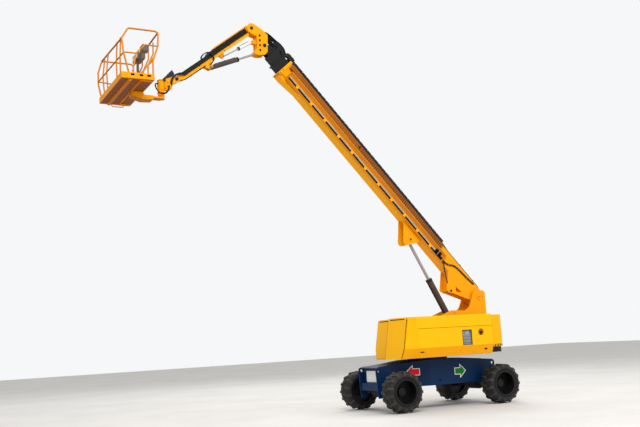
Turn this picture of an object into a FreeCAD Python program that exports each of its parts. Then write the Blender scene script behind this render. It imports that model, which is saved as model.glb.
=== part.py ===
# Telescopic boom lift with articulating jib: an assembly of separate sub-parts.
# Millimetres, +Z up, +X forward along the boom, +Y to the machine's left.
# The origin lies on the ground under the slewing axis.
import FreeCAD, Part
import math
import os
import re
import Sketcher

V = FreeCAD.Vector
doc = FreeCAD.newDocument("BoomLift")
sheet = doc.addObject("Spreadsheet::Sheet", "Sizes")
SIDES = (("left", "1"), ("right", "-1"))

# Driving sizes: name, value in millimetres or degrees, what it measures.
SIZES = (
    ("axle_offset", 1456, "axle centres fore and aft of the slewing axis"),
    ("wheel_centre", 1015, "wheel centre planes from the centre line"),
    ("tyre_diameter", 965, "over the lugs"),
    ("tyre_half", 215, "half the tyre's width"),
    ("lug_height", 29, "lugs above the carcass"),
    ("seat_radius", 312, "bead seat of the rim"),
    ("flange_radius", 322, "rim flange"),
    ("flange_inner", 186, "inner face of the rim flange from the wheel centre plane"),
    ("flange_outer", 198, "outer face of the rim flange"),
    ("dish_radius", 272, "opening of the dished rim"),
    ("barrel_radius", 290, "inside of the rim barrel"),
    ("disc_back", -90, "back of the wheel disc from the wheel centre plane"),
    ("disc_front", -70, "front of the wheel disc"),
    ("hub_radius", 115, "planetary hub"),
    ("hub_front", 34, "end of the hub from the wheel centre plane"),
    ("fit_gap", 0.3, "clearance between seated faces"),
    ("run_gap", 5, "clearance between moving faces"),
    ("kingpin_y", 800, "steering axis from the centre line"),
    ("kingpin_radius", 25, "steering pin"),
    ("trunnion_radius", 60, "knuckle barrel round the kingpin"),
    ("yoke_low", 105, "inner face of the yoke arms above and below the axle"),
    ("yoke_high", 135, "outer face of the yoke arms"),
    ("yoke_half", 60, "half the yoke's length along the machine"),
    ("steer_arm", 215, "steering arm from the kingpin to the track rod"),
    ("steer_ram_arm", 170, "steering arm from the kingpin to the cylinder rod"),
    ("track_rod_radius", 16, "track rod"),
    ("axle_pad_top", 600, "top of the axle pads, under the frame"),
    ("frame_end", 1790, "end of the chassis frame from the slewing axis"),
    ("frame_neck", 425, "half width of the frame between the wheels"),
    ("frame_waist", 700, "half width of the frame under the turret"),
    ("frame_wall", 20, "plate of the chassis frame"),
    ("frame_top", 1180, "top of the chassis frame under the slewing ring"),
    ("frame_nose_top", 1070, "top of the frame at its ends"),
    ("end_panel_x", 1640, "cross panel in the frame's end recess"),
    ("lashing_x", 1710, "lashing eyes from the slewing axis"),
    ("lashing_z", 985, "height of the lashing eyes"),
    ("lashing_diameter", 70, "bore of the lashing eyes"),
    ("ring_outer", 500, "outer radius of the slewing ring"),
    ("ring_inner", 400, "inner radius of the slewing ring"),
    ("turret_floor", 1235, "underside of the turret base plate"),
    ("turret_plate", 30, "thickness of the turret base plate"),
    ("upright_inner", 200, "inner faces of the uprights"),
    ("upright_outer", 240, "outer faces of the uprights"),
    ("pivot_x", -1650, "boom pivot"),
    ("pivot_z", 2700, "boom pivot height"),
    ("pivot_pin_radius", 50, "boom pivot pin"),
    ("boom_angle", 47.6, "boom elevation as photographed"),
    ("slot_half", 285, "half the slot between the hoods"),
    ("slot_sheet", 10, "sheet beside the slot"),
    ("hood_bottom", 1240, "lower edge of the hoods"),
    ("hood_crease", 1470, "crease of the hood side"),
    ("hood_shoulder", 2180, "shoulder of the hoods"),
    ("hood_top", 2220, "top of the hoods"),
    ("hood_side", 1200, "side face of the hoods"),
    ("hood_side_low", "=hood_side - 80", "side at the lower edge"),
    ("hood_side_top", "=hood_side - 30", "side at the top"),
    ("hood_groove", 1930, "groove along the hood sides"),
    ("groove_depth", 5, "depth and half the height of the groove"),
    ("hood_rear", -1200, "rear seam of the hoods"),
    ("hood_wall", 14, "moulded wall of the hoods"),
    ("hood_inner", 300, "inner edge of the hood tops"),
    ("facet_top_x", 1060, "front facet start at the top"),
    ("facet_low_x", 950, "front facet start at the lower edge"),
    ("seam_top_x", 1200, "front seam corner at the top"),
    ("seam_low_x", 1380, "front seam corner at the lower edge"),
    ("nose_top_x", 1250, "front cover by the slot at the top"),
    ("nose_low_x", 1430, "front cover by the slot at the lower edge"),
    ("seam_inset", 170, "front seam corner inside the side face"),
    ("far_setback", 450, "right hood ends this much further aft"),
    ("cover_wall", 16, "front covers"),
    ("cover_gap", 6, "seam between hood and front cover"),
    ("hood_hinge_y", 310, "hood hinge from the centre line"),
    ("hood_hinge_z", 2192, "hood hinge height"),
    ("window_rear", -560, "rear edge of the ground control window"),
    ("window_front", -270, "front edge of the window"),
    ("window_low", 1480, "lower edge of the window"),
    ("window_high", 1850, "upper edge of the window"),
    ("latch_x", -840, "hood latch recess"),
    ("latch_z", 1780, "hood latch recess height"),
    ("latch_radius", 80, "hood latch recess"),
    ("weight_low", 1400, "underside of the painted counterweight"),
    ("weight_high", 2190, "top of the counterweight"),
    ("weight_front", "=hood_rear - cover_gap", "front face of the counterweight"),
    ("weight_side", "=hood_side", "side face of the counterweight"),
    ("weight_corner", 350, "corner radius of the counterweight"),
    ("weight_shoulder", -1310, "where the counterweight's corner begins"),
    ("weight_rear", -1900, "rearmost point of the counterweight"),
    ("weight_notch", -1835, "bottom of the notch round the uprights"),
    ("outer_half", 165, "half width of the outer boom section"),
    ("outer_low", -200, "underside of the outer section from the boom axis"),
    ("outer_high", 170, "top of the outer section from the boom axis"),
    ("outer_wall", 8, "wall of the outer section"),
    ("outer_rear", 200, "rear end of the outer box"),
    ("outer_tip", 7860, "front end of the outer section from the pivot"),
    ("foot_inner", 150, "inner faces of the boom foot plates"),
    ("mid_half", 145, "half width of the middle section"),
    ("mid_low", -180, "underside of the middle section"),
    ("mid_high", 150, "top of the middle section"),
    ("mid_wall", 7, "wall of the middle section"),
    ("mid_rear", 1250, "rear end of the middle section"),
    ("mid_tip", 8080, "front end of the middle section"),
    ("inner_half", 126, "half width of the inner section"),
    ("inner_low", -161, "underside of the inner section"),
    ("inner_high", 131, "top of the inner section"),
    ("inner_wall", 6, "wall of the inner section"),
    ("inner_rear", 1400, "rear end of the inner section"),
    ("inner_tip", 8310, "front end of the inner box"),
    ("pad_length", 120, "wear pads along the boom"),
    ("pad_half", 60, "half width of the wear pads"),
    ("collar_half", 185, "half width of the collar at the outer section's end"),
    ("collar_low", -270, "underside of the collar"),
    ("collar_high", 200, "top of the collar"),
    ("collar_length", 70, "collar along the boom"),
    ("lift_pin_x", 2460, "lift cylinder rod pin along the boom"),
    ("lift_pin_z", -440, "lift cylinder rod pin below the boom axis"),
    ("lift_base_x", -1210, "lift cylinder base pin"),
    ("lift_base_z", 1371, "lift cylinder base pin height"),
    ("lift_pin_radius", 38, "lift cylinder pins"),
    ("lift_barrel_radius", 82, "lift cylinder barrel"),
    ("lift_rod_radius", 39, "lift cylinder rod"),
    ("lift_barrel", 2080, "lift cylinder barrel from its pin"),
    ("lift_bore_radius", 70, "lift cylinder bore"),
    ("lift_closed", 100, "closed end of the lift cylinder bore"),
    ("lift_piston", 1250, "lift cylinder piston from the barrel pin as photographed"),
    ("gland", 0.7, "gland and piston length as a share of their radius"),
    ("lift_bracket_inner", 100, "inner faces of the lift bracket"),
    ("lift_bracket_outer", 140, "outer faces of the lift bracket"),
    ("tray_front", 7640, "front end of the cable tray"),
    ("tray_rear", 1450, "rear end of the cable tray"),
    ("tray_outer", 235, "outer face of the cable tray"),
    ("tray_low", -235, "underside of the cable tray"),
    ("tray_high", 20, "top of the cable tray"),
    ("tray_wall", 5, "sheet of the cable tray"),
    ("slot_low", -205, "lower edge of the tray slots"),
    ("slot_high", -115, "upper edge of the tray slots"),
    ("slot_pitch", 530, "pitch of the tray slots"),
    ("slot_bar", 80, "bar between two tray slots"),
    ("first_bar", 1980, "first bar of the tray from the pivot"),
    ("chain_inner", 172, "tray chain's inner side"),
    ("chain_low", -195, "underside of the tray chain"),
    ("chain_high", -90, "top of the tray chain"),
    ("chain_pitch", 150, "pitch of the carrier chains' links"),
    ("link_gap", 14, "gap between two links"),
    ("hose_radius", 15, "hydraulic hoses"),
    ("band_front", 7750, "front end of the ribbed carrier"),
    ("band_rear", 1700, "rear end of the ribbed carrier"),
    ("band_outer", 225, "outer face of the ribbed carrier"),
    ("band_low", 30, "lower edge of the ribbed carrier"),
    ("band_high", 165, "upper edge of the ribbed carrier"),
    ("top_band_front", 7950, "front end of the top carrier"),
    ("top_band_rear", 1750, "rear end of the top carrier"),
    ("top_band_inner", 40, "inner edge of the top carrier"),
    ("top_band_outer", 160, "outer edge of the top carrier"),
    ("top_band_high", 280, "top of the top carrier"),
    ("head_pin_x", 8560, "head pin along the boom"),
    ("head_pin_z", -60, "head pin from the boom axis"),
    ("nose_inner", 80, "inner faces of the nose plates"),
    ("nose_outer", 100, "outer faces of the nose plates"),
    ("head_pin_radius", 30, "head pin"),
    ("guard_half", 72, "half width of the hose guard on the inner section"),
    ("jib_reach", 323.666, "jib pin ahead of the head pin"),
    ("jib_rise", 409.287, "jib pin above the head pin"),
    ("head_x", "=pivot_x + head_pin_x * cos(boom_angle) - head_pin_z * sin(boom_angle)", "head pin"),
    ("head_z", "=pivot_z + head_pin_x * sin(boom_angle) + head_pin_z * cos(boom_angle)", "head pin height"),
    ("jib_x", "=head_x + jib_reach", "jib pin"),
    ("jib_z", "=head_z + jib_rise", "jib pin height"),
    ("head_inner", 110, "inner faces of the head plates"),
    ("head_outer", 125, "outer faces of the head plates"),
    ("cheek_inner", 95, "inner faces of the gooseneck cheeks"),
    ("cheek_outer", 115, "outer faces of the gooseneck cheeks"),
    ("jib_angle", -37.4, "jib elevation as photographed"),
    ("jib_length", 2420, "jib pin to platform pin"),
    ("jib_half", 70, "half width of the jib beam"),
    ("jib_wall", 6, "wall of the jib beam"),
    ("jib_pin_radius", 25, "jib pins"),
    ("ram_base_x", 1510, "jib cylinder barrel pin along the jib"),
    ("ram_base_z", -216, "jib cylinder barrel pin below the jib axis"),
    ("ram_head_x", -120, "jib cylinder rod pin from the jib pin"),
    ("ram_head_z", -610, "jib cylinder rod pin below the jib pin"),
    ("ram_pin_radius", 20, "jib cylinder pins"),
    ("ram_radius", 55, "jib cylinder barrel"),
    ("ram_barrel", 790, "jib cylinder barrel from its pin"),
    ("ram_rod_radius", 26, "jib cylinder rod"),
    ("ram_bore_radius", 46, "jib cylinder bore"),
    ("ram_closed", 55, "closed end of the jib cylinder bore"),
    ("ram_piston", 315, "jib cylinder piston from the barrel pin as photographed"),
    ("level_base_x", -30, "levelling cylinder barrel pin from the jib pin"),
    ("level_base_z", -318, "levelling cylinder barrel pin below the jib pin"),
    ("level_rod_x", 1060, "levelling cylinder rod pin along the jib"),
    ("level_rod_z", -168, "levelling cylinder rod pin below the jib axis"),
    ("level_pin_radius", 14, "levelling cylinder pins"),
    ("level_radius", 42, "levelling cylinder barrel"),
    ("level_lug_inner", 20, "inner faces of the levelling rod's lugs"),
    ("ram_lug_inner", 45, "inner faces of the jib cylinder rod's lugs"),
    ("level_barrel", 430, "levelling cylinder barrel from its pin"),
    ("level_rod_radius", 15, "levelling cylinder rod"),
    ("level_bore_radius", 34, "levelling cylinder bore"),
    ("level_closed", 42, "closed end of the levelling cylinder bore"),
    ("level_piston", 175, "levelling cylinder piston from the barrel pin as photographed"),
    ("jib_end_x", "=jib_x + jib_length * cos(jib_angle)", "pin at the jib's far end"),
    ("jib_end_z", "=jib_z + jib_length * sin(jib_angle)", "pin at the jib's far end, height"),
    ("rotator_reach", 347.52, "platform rotator axis ahead of the jib's far pin"),
    ("rotator_drop", 360.14, "lower end of the rotator housing below the jib's far pin"),
    ("rotator_x", "=jib_end_x + rotator_reach", "platform rotator axis"),
    ("rotator_radius", 85, "platform rotator"),
    ("rotator_low", "=jib_end_z - rotator_drop", "lower end of the rotator housing"),
    ("rotator_high", "=rotator_low + 320", "upper end of the rotator housing"),
    ("floor_rear", "=rotator_x + 450", "platform floor, side toward the jib"),
    ("floor_depth", 720, "platform floor from the jib side to the outer side"),
    ("floor_front", "=floor_rear + floor_depth", "platform floor, outer side"),
    ("floor_half", 1040, "half the platform's length"),
    ("floor_low", "=rotator_low - 30", "underside of the platform pan"),
    ("floor_sheet", 4, "platform sheets"),
    ("floor_top", "=floor_low + 30", "top of the platform floor"),
    ("curb_width", 56, "raised curb along the floor's edge that the rails stand on"),
    ("curb_top", "=floor_top + 8", "top of the curb"),
    ("toe_high", "=floor_low + 130", "top of the toe boards"),
    ("rail_radius", 19, "guard rail tube"),
    ("post_radius", 16, "guard rail posts and struts"),
    ("top_rail_near", "=floor_low + 1120", "top rail height at the near end"),
    ("top_rail_far", "=floor_low + 1060", "top rail height along the sides"),
    ("mid_rail", "=floor_low + 520", "mid rail height"),
    ("rail_lean", 125, "top rail leans over the jib side by this much"),
)

row_count = 0
known = []


def note(alias, value, meaning):
    global row_count
    row_count += 1
    sheet.set("A%d" % row_count, meaning)
    sheet.set("B%d" % row_count, str(value))
    sheet.setAlias("B%d" % row_count, alias)
    known.append(alias)


for alias, value, meaning in SIZES:
    note(alias, value, meaning)
doc.recompute()


def ref(text):
    """The text with every size name pointing into the sheet."""
    return re.sub(r"\b[a-z][a-z_0-9]*[a-z0-9]\b",
                  lambda m: "Sizes." + m.group(0) if m.group(0) in known else m.group(0), str(text))


def size(text):
    """The value of a size or of an expression of sizes."""
    return float(sheet.evalExpression(str(text)))


def outline(name, *corners):
    """Writes a profile's numbers to the sheet and gives back its corners as expressions."""
    result = []
    for number, corner in enumerate(corners, 1):
        pair = []
        for letter, value in zip("uv", corner):
            if isinstance(value, str):
                pair.append(value)
            else:
                alias = "%s_%s%d" % (name, letter, number)
                note(alias, value, "corner %d of %s" % (number, name.replace("_", " ")))
                pair.append(alias)
        result.append(tuple(pair))
    sheet.recompute()
    return result


def polygon(body, role, corners, level):
    """Closed sketch of straight edges on an origin plane of the body, every corner bound."""
    sketch = body.newObject("Sketcher::SketchObject", body.Name + "Outline")
    plane = [item for item in body.Origin.OriginFeatures if item.Role == role][0]
    sketch.AttachmentSupport = (plane, [""])
    sketch.MapMode = "FlatFace"
    sketch.setExpression("AttachmentOffset.Base.z", ref(level))
    points = [V(size(u), size(v), 0) for u, v in corners]
    count = len(points)
    sketch.addGeometry([Part.LineSegment(points[i], points[(i + 1) % count]) for i in range(count)], False)
    joined = [Sketcher.Constraint("Coincident", i, 2, (i + 1) % count, 1) for i in range(count)]
    sketch.addConstraint(joined)
    for i in range(count):
        for kind, value, text in (("DistanceX", points[i].x, corners[i][0]),
                                  ("DistanceY", points[i].y, corners[i][1])):
            index = sketch.addConstraint(Sketcher.Constraint(kind, -1, 1, i, 1, value))
            sketch.setExpression("Constraints[%d]" % index, ref(text))
    return sketch


def prism(name, plane, corners, low, high):
    """Plate or block: a polygon on XY, XZ or YZ, padded from low to high across that plane."""
    body = doc.addObject("PartDesign::Body", name)
    level = "-(%s)" % high if plane == "XZ" else low
    sketch = polygon(body, plane + "_Plane", corners, level)
    pad = body.newObject("PartDesign::Pad", name + "Pad")
    pad.Profile = sketch
    pad.setExpression("Length", ref("(%s) - (%s)" % (high, low)))
    sketch.Visibility = False
    return body


def turned(name, axis, corners):
    """Solid of revolution about X or Y through the origin; corners are (along, radius)."""
    body = doc.addObject("PartDesign::Body", name)
    sketch = polygon(body, "XZ_Plane" if axis == "X" else "YZ_Plane", corners, "0")
    solid = body.newObject("PartDesign::Revolution", name + "Turned")
    solid.Profile = sketch
    solid.ReferenceAxis = (sketch, ["H_Axis"])
    solid.Angle = 360
    sketch.Visibility = False
    return body


def at(item, x, y, z):
    for letter, text in zip("xyz", (x, y, z)):
        item.setExpression("Placement.Base." + letter, ref(text))
    return item


def block(name, x, y, z):
    """Box between two bounds on each axis."""
    item = doc.addObject("Part::Box", name)
    for prop, (low, high) in zip(("Length", "Width", "Height"), (x, y, z)):
        item.setExpression(prop, ref("(%s) - (%s)" % (high, low)))
    return at(item, x[0], y[0], z[0])


TURN = {"X": FreeCAD.Rotation(V(0, 1, 0), 90),
        "Y": FreeCAD.Rotation(V(1, 0, 0), -90),
        "Z": FreeCAD.Rotation()}


def bar(name, axis, centre, low, high, radius):
    """Round bar along X, Y or Z from low to high; centre gives the other two coordinates."""
    item = doc.addObject("Part::Cylinder", name)
    item.Placement = FreeCAD.Placement(V(), TURN[axis])
    item.setExpression("Radius", ref(radius))
    item.setExpression("Height", ref("(%s) - (%s)" % (high, low)))
    first, second = centre
    base = {"X": (low, first, second), "Y": (first, low, second), "Z": (first, second, low)}[axis]
    return at(item, *base)


def comb(name, start, end, floor, crest, root, low, high):
    """Chain of links along X: a bar notched from its crest down to its root at every link."""
    here = size(start)
    stop = size(end)
    pitch = size("chain_pitch")
    gap = size("link_gap")
    base = size(floor)
    peak = size(crest)
    valley = size(root)
    corners = [(here, base)]
    while here + pitch < stop - gap:
        corners += [(here, peak), (here + pitch - gap, peak), (here + pitch - gap, valley),
                    (here + pitch, valley)]
        here += pitch
    corners += [(here, peak), (stop, peak), (stop, base)]
    level = size(low)
    face = Part.Face(Part.makePolygon([V(u, level, v) for u, v in corners + corners[:1]]))
    return solid(name, face.extrude(V(0, size(high) - level, 0)))


def fuse(name, *items):
    item = doc.addObject("Part::MultiFuse", name)
    item.Shapes = list(items)
    item.Refine = True
    return item


def group(name, *items):
    item = doc.addObject("Part::Compound", name)
    item.Links = list(items)
    return item


def cut(name, base, *tools):
    item = doc.addObject("Part::Cut", name)
    item.Base = base
    item.Tool = tools[0] if len(tools) == 1 else fuse(name + "Tools", *tools)
    item.Refine = True
    return item


def common(name, first, second):
    item = doc.addObject("Part::Common", name)
    item.Base = first
    item.Tool = second
    return item


def solid(name, shape):
    """Feature carrying a shape that was worked out from the sheet's sizes."""
    item = doc.addObject("Part::Feature", name)
    item.Shape = shape
    return item


def contour(points):
    """Closed wire of straight edges and arcs; a corner given with 'mid' before it ends an arc."""
    edges = []
    here = points[0]
    waiting = None
    for entry in list(points[1:]) + [points[0]]:
        if isinstance(entry, tuple):
            waiting = entry[1]
            continue
        if waiting is None:
            edges.append(Part.makeLine(here, entry))
        else:
            edges.append(Part.Arc(here, waiting, entry).toShape())
        waiting = None
        here = entry
    return Part.Wire(edges)


def route(points, bend):
    """Open wire through the points: straight runs joined by tangent arcs of one radius."""
    edges = []
    here = points[0]
    for before, corner, after in zip(points, points[1:], points[2:]):
        back = (before - corner).normalize()
        ahead = (after - corner).normalize()
        half = back.getAngle(ahead) / 2
        reach = bend / math.tan(half)
        start = corner + back * reach
        end = corner + ahead * reach
        centre = corner + (back + ahead).normalize() * (bend / math.sin(half))
        middle = centre + (corner - centre).normalize() * bend
        if (start - here).Length > 0.01:
            edges.append(Part.makeLine(here, start))
        edges.append(Part.Arc(start, middle, end).toShape())
        here = end
    edges.append(Part.makeLine(here, points[-1]))
    return Part.Wire(edges)


def tube(points, radius, bend):
    """Round bar swept along a route of straight runs and arcs."""
    path = route([V(*p) for p in points], bend) if len(points) > 2 else Part.Wire(
        [Part.makeLine(V(*points[0]), V(*points[1]))])
    direction = V(*points[1]) - V(*points[0])
    ring = Part.Wire([Part.Circle(V(*points[0]), direction, radius).toShape()])
    return path.makePipeShell([ring], True, False)


nodes = []


def node(name, item, frame=None):
    """Names the finished sub-part and puts it in its frame: a pin and an elevation."""
    if frame:
        x, y, z, angle = frame
        item.Placement = FreeCAD.Placement(V(size(x), size(y), size(z)),
                                           FreeCAD.Rotation(V(0, -1, 0), size(angle)))
        at(item, x, y, z)
    item.Label = name
    nodes.append(item)
    return item


BOOM = ("pivot_x", "0", "pivot_z", "boom_angle")
JIB = ("jib_x", "0", "jib_z", "jib_angle")
HEAD = ("jib_x", "0", "jib_z", "0")
AXLE_HEIGHT = "tyre_diameter / 2"

# Wheels: lugged tyre and dished rim about the wheel axis.
def ring_point(along, radius, angle):
    return V(radius * math.cos(angle), along, radius * math.sin(angle))


def facets(polygons):
    """Solid bounded by flat polygons."""
    faces = [Part.Face(Part.makePolygon(corners + corners[:1])) for corners in polygons]
    return Part.Solid(Part.makeShell(faces))


# Stations of a lug: from the wheel's middle plane, its middle and half width along the tread,
# and the heights of its top and foot over the wheel's axis.
LUG_COUNT = 15
LUG_REACH = 48.5
LUG_TOP = math.sqrt(482.5 ** 2 - LUG_REACH ** 2)
LUG = ((16, -21.5, 27, LUG_TOP, 440), (160, 18.5, 30, LUG_TOP, 430), (202, 20.5, 27, 440, 384))
LUG_LEAD = math.atan2(LUG_REACH, LUG_TOP) - math.pi / 2


def carcass_shape():
    """Foam-filled tyre without its lugs: one section repeated round the wheel in flat facets."""
    half = size("tyre_half")
    tread = size("tyre_diameter / 2 - lug_height")
    bead = size("seat_radius + fit_gap") / math.cos(math.pi / (2 * LUG_COUNT))
    flange = size("flange_radius + 1") / math.cos(math.pi / (2 * LUG_COUNT))
    seat = size("flange_inner - 1")
    right = [(seat, bead), (seat, flange), (half - 2, 380), (half - 58, tread)]
    section = [(-u, v) for u, v in right] + right[::-1]
    start = LUG_LEAD - math.pi / (2 * LUG_COUNT)
    turns = [start + math.pi * k / LUG_COUNT for k in range(2 * LUG_COUNT + 1)]
    quads = []
    for first, second in zip(turns, turns[1:]):
        for near, far in zip(section, section[1:] + section[:1]):
            quads.append([ring_point(near[0], near[1], first), ring_point(far[0], far[1], first),
                          ring_point(far[0], far[1], second), ring_point(near[0], near[1], second)])
    return facets(quads)


def lug_shape(side, turn):
    """One lug from the tread's middle over the shoulder."""
    rows = []
    for along, middle, width, top, foot in LUG:
        row = []
        for across, height in ((middle - width, foot), (middle - width, top),
                               (middle + width, top), (middle + width, foot)):
            row.append(V(height * math.cos(turn) - across * math.sin(turn), side * along,
                         height * math.sin(turn) + across * math.cos(turn)))
        rows.append(row)
    polygons = [rows[0], rows[-1]]
    for first, second in zip(rows, rows[1:]):
        for k in range(4):
            m = (k + 1) % 4
            polygons.append([first[k], second[k], second[m], first[m]])
    return facets(polygons)


lugs = [lug_shape(side, LUG_LEAD + math.tau * (k + stagger) / LUG_COUNT)
        for side, stagger in ((1, 0), (-1, 0.5)) for k in range(LUG_COUNT)]
tyre_shape = carcass_shape().multiFuse(lugs)
rim_section = outline(
    "rim",
    ("-flange_outer", "barrel_radius"), ("-flange_outer", "flange_radius"),
    ("-flange_inner", "flange_radius"), ("-flange_inner", "seat_radius"),
    ("flange_inner", "seat_radius"), ("flange_inner", "flange_radius"),
    ("flange_outer", "flange_radius"), ("flange_outer", "dish_radius"),
    (178, "dish_radius"), (165, "barrel_radius"), ("disc_front", "barrel_radius"),
    ("disc_front", "hub_radius"), (14, "hub_radius"), (24, 100), ("hub_front", 60),
    ("hub_front", "0"), ("disc_back", "0"), ("disc_back", "barrel_radius"))
for end, along in (("front", "1"), ("rear", "-1")):
    for side, sign in SIDES:
        tyre = solid("Tyre %s %s" % (end, side), tyre_shape)
        rim = turned("rim %s %s" % (end, side), "Y", rim_section)
        for kind, wheel in (("tyre", tyre), ("rim", rim)):
            if sign == "-1":
                wheel.Placement = FreeCAD.Placement(V(), FreeCAD.Rotation(V(0, 0, 1), 180))
            at(wheel, along + " * axle_offset", sign + " * wheel_centre", AXLE_HEIGHT)
            node("%s_%s_%s" % (kind, end, side), wheel)

# Front axle with its yokes; rear axle with its flanged ends.
axle_tube = outline("axle_tube", (-380, 70), (-160, 150), (160, 150), (380, 70))
front_beam = turned("FrontBeam", "Y", [("-660", "0"), ("-660", "85")] + axle_tube
                    + [("660", "85"), ("660", "0")])
rear_beam = turned("RearBeam", "Y", [("-wheel_centre - disc_back + fit_gap", "0"),
                                     ("-wheel_centre - disc_back + fit_gap", "100"),
                                     ("-640", "100"), ("-640", "82")] + axle_tube
                   + [("640", "82"), ("640", "100"),
                      ("wheel_centre + disc_back - fit_gap", "100"),
                      ("wheel_centre + disc_back - fit_gap", "0")])


def axle_pads(name):
    pads = []
    for side, sign in SIDES:
        low, high = ("270", "390") if sign == "1" else ("-390", "-270")
        pads.append(block("%s pad %s" % (name, side), ("-125", "125"), (low, high),
                          ("0", "axle_pad_top - tyre_diameter / 2")))
    return pads


yokes = []
bores = []
for side, sign in SIDES:
    def across(near, far, sign=sign):
        return (near, far) if sign == "1" else ("-(%s)" % far, "-(%s)" % near)
    yokes.append(block("yoke web " + side, ("-yoke_half", "yoke_half"), across("640", "700"),
                       ("-yoke_high", "yoke_high")))
    for level in ("1", "-1"):
        arm = ("yoke_low", "yoke_high") if level == "1" else ("-yoke_high", "-yoke_low")
        yokes.append(block("yoke arm %s %s" % (side, level), ("-yoke_half", "yoke_half"),
                           across("690", "kingpin_y + 60"), arm))
        cap = ("yoke_high", "yoke_high + 14") if level == "1" else ("-yoke_high - 14", "-yoke_high")
        yokes.append(bar("kingpin cap %s %s" % (side, level), "Z", ("0", sign + " * kingpin_y"),
                         cap[0], cap[1], "40"))
    bores.append(bar("kingpin bore " + side, "Z", ("0", sign + " * kingpin_y"),
                     "-yoke_high", "yoke_high", "kingpin_radius + fit_gap"))
yokes.append(block("steering anchor", ("-steer_ram_arm - 30", "-100"), ("105", "205"), ("-22", "38")))
front_axle = cut("FrontAxle", fuse("FrontAxleWhole", front_beam, *(axle_pads("front") + yokes)), *bores)
node("front_axle", at(front_axle, "axle_offset", "0", AXLE_HEIGHT))
rear_axle = fuse("RearAxle", rear_beam, *axle_pads("rear"))
node("rear_axle", at(rear_axle, "-axle_offset", "0", AXLE_HEIGHT))

# Steering knuckles, track rod and steering cylinder.
for side, sign in SIDES:
    centre = ("0", "0")
    if sign == "1":
        housing = ("0", "wheel_centre - kingpin_y + disc_back - fit_gap")
    else:
        housing = ("-(wheel_centre - kingpin_y + disc_back - fit_gap)", "0")
    parts = [bar("trunnion " + side, "Z", centre, "-100", "100", "trunnion_radius"),
             bar("kingpin " + side, "Z", centre, "-yoke_high + 1", "yoke_high - 1", "kingpin_radius"),
             bar("spindle housing " + side, "Y", centre, housing[0], housing[1], "100"),
             block("steering arm " + side, ("-steer_arm", "0"), ("-22", "22"), ("-40", "-10")),
             bar("rear arm eye " + side, "Z", ("-steer_arm", "0"), "-40", "-10", "32"),
             bar("rear arm pin " + side, "Z", ("-steer_arm", "0"), "-84", "-10", "12")]
    if sign == "1":
        parts.append(bar("ram arm eye", "Z", ("-steer_ram_arm", "0"), "-38", "-10", "29"))
    knuckle = fuse("Knuckle" + side, *parts)
    knuckle.Refine = False
    node("knuckle_" + side, at(knuckle, "axle_offset", sign + " * kingpin_y", AXLE_HEIGHT))
rod_eyes = [bar("track rod eye " + side, "Z", ("0", sign + " * kingpin_y"), "-79", "-43", "28")
            for side, sign in SIDES]
rod_bores = [bar("track rod bore " + side, "Z", ("0", sign + " * kingpin_y"), "-80", "-42", "12 + fit_gap")
             for side, sign in SIDES]
rod_bar = bar("track rod bar", "Y", ("0", "-61"), "-kingpin_y", "kingpin_y", "track_rod_radius")
track_rod = cut("TrackRod", fuse("TrackRodWhole", rod_bar, *rod_eyes), *rod_bores)
node("track_rod", at(track_rod, "axle_offset - steer_arm", "0", AXLE_HEIGHT))
steer_barrel = cut("SteeringBarrel",
                   bar("steering tube", "Y", ("0", "0"), "205", "600", "30"),
                   bar("steering bore", "Y", ("0", "0"), "235", "580", "24"),
                   bar("steering gland", "Y", ("0", "0"), "570", "600", "14 + fit_gap"))
node("steering_barrel", at(steer_barrel, "axle_offset - steer_ram_arm", "0", AXLE_HEIGHT + " + 8"))
steer_rod = fuse("SteeringRod",
                 bar("steering rod bar", "Y", ("0", "0"), "350", "kingpin_y - 12", "14"),
                 bar("steering piston", "Y", ("0", "0"), "350", "380", "24 - fit_gap"),
                 bar("steering rod eye", "Z", ("0", "kingpin_y"), "-18 + fit_gap", "18", "27"))
node("steering_rod", at(steer_rod, "axle_offset - steer_ram_arm", "0", AXLE_HEIGHT + " + 8"))

# Chassis frame: plan outline and side outline crossed, hollow below its top plate.
plan_half = outline("frame_plan", ("frame_end", "frame_neck"), (1150, "frame_neck"), (420, "frame_waist"),
                    (-1150, "frame_waist"), (-1230, "frame_neck"), ("-frame_end", "frame_neck"))
plan = plan_half + [(u, "-(%s)" % v) for u, v in reversed(plan_half)]
room_half = outline("frame_room", ("frame_end + 20", "frame_neck - frame_wall"),
                    (1146, "frame_neck - frame_wall"), (416, "frame_waist - frame_wall"),
                    (-1136, "frame_waist - frame_wall"), (-1216, "frame_neck - frame_wall"),
                    ("-frame_end - 20", "frame_neck - frame_wall"))
room = room_half + [(u, "-(%s)" % v) for u, v in reversed(room_half)]
side_half = outline("frame_side", (420, "frame_top"), (1700, "frame_nose_top + 8"),
                    (1765, "frame_nose_top - 15"), ("frame_end", "frame_nose_top - 60"), ("frame_end", 900),
                    (1750, 340), (1735, 330), (1615, 330), (1600, 345), (1585, "axle_pad_top"),
                    (1325, "axle_pad_top"), (1290, 552))
side_view = side_half + [("-(%s)" % u, v) for u, v in reversed(side_half)]
under_top = outline("frame_under", (420, "frame_top - frame_wall"), (1830, 1046), (1830, 200))
under_view = under_top + [("-(%s)" % u, v) for u, v in reversed(under_top)]
frame_shell = cut("FrameShell",
                  common("FrameOuter", prism("FramePlan", "XY", plan, "250", "frame_top + 20"),
                         prism("FrameSide", "XZ", side_view, "-frame_waist - 20", "frame_waist + 20")),
                  common("FrameRoom", prism("FrameRoomPlan", "XY", room, "180", "frame_top"),
                         prism("FrameRoomSide", "XZ", under_view, "-frame_waist", "frame_waist")))
frame_parts = [frame_shell,
               bar("ring pedestal", "Z", ("0", "0"), "frame_top - 60", "frame_top", "ring_outer")]
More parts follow.
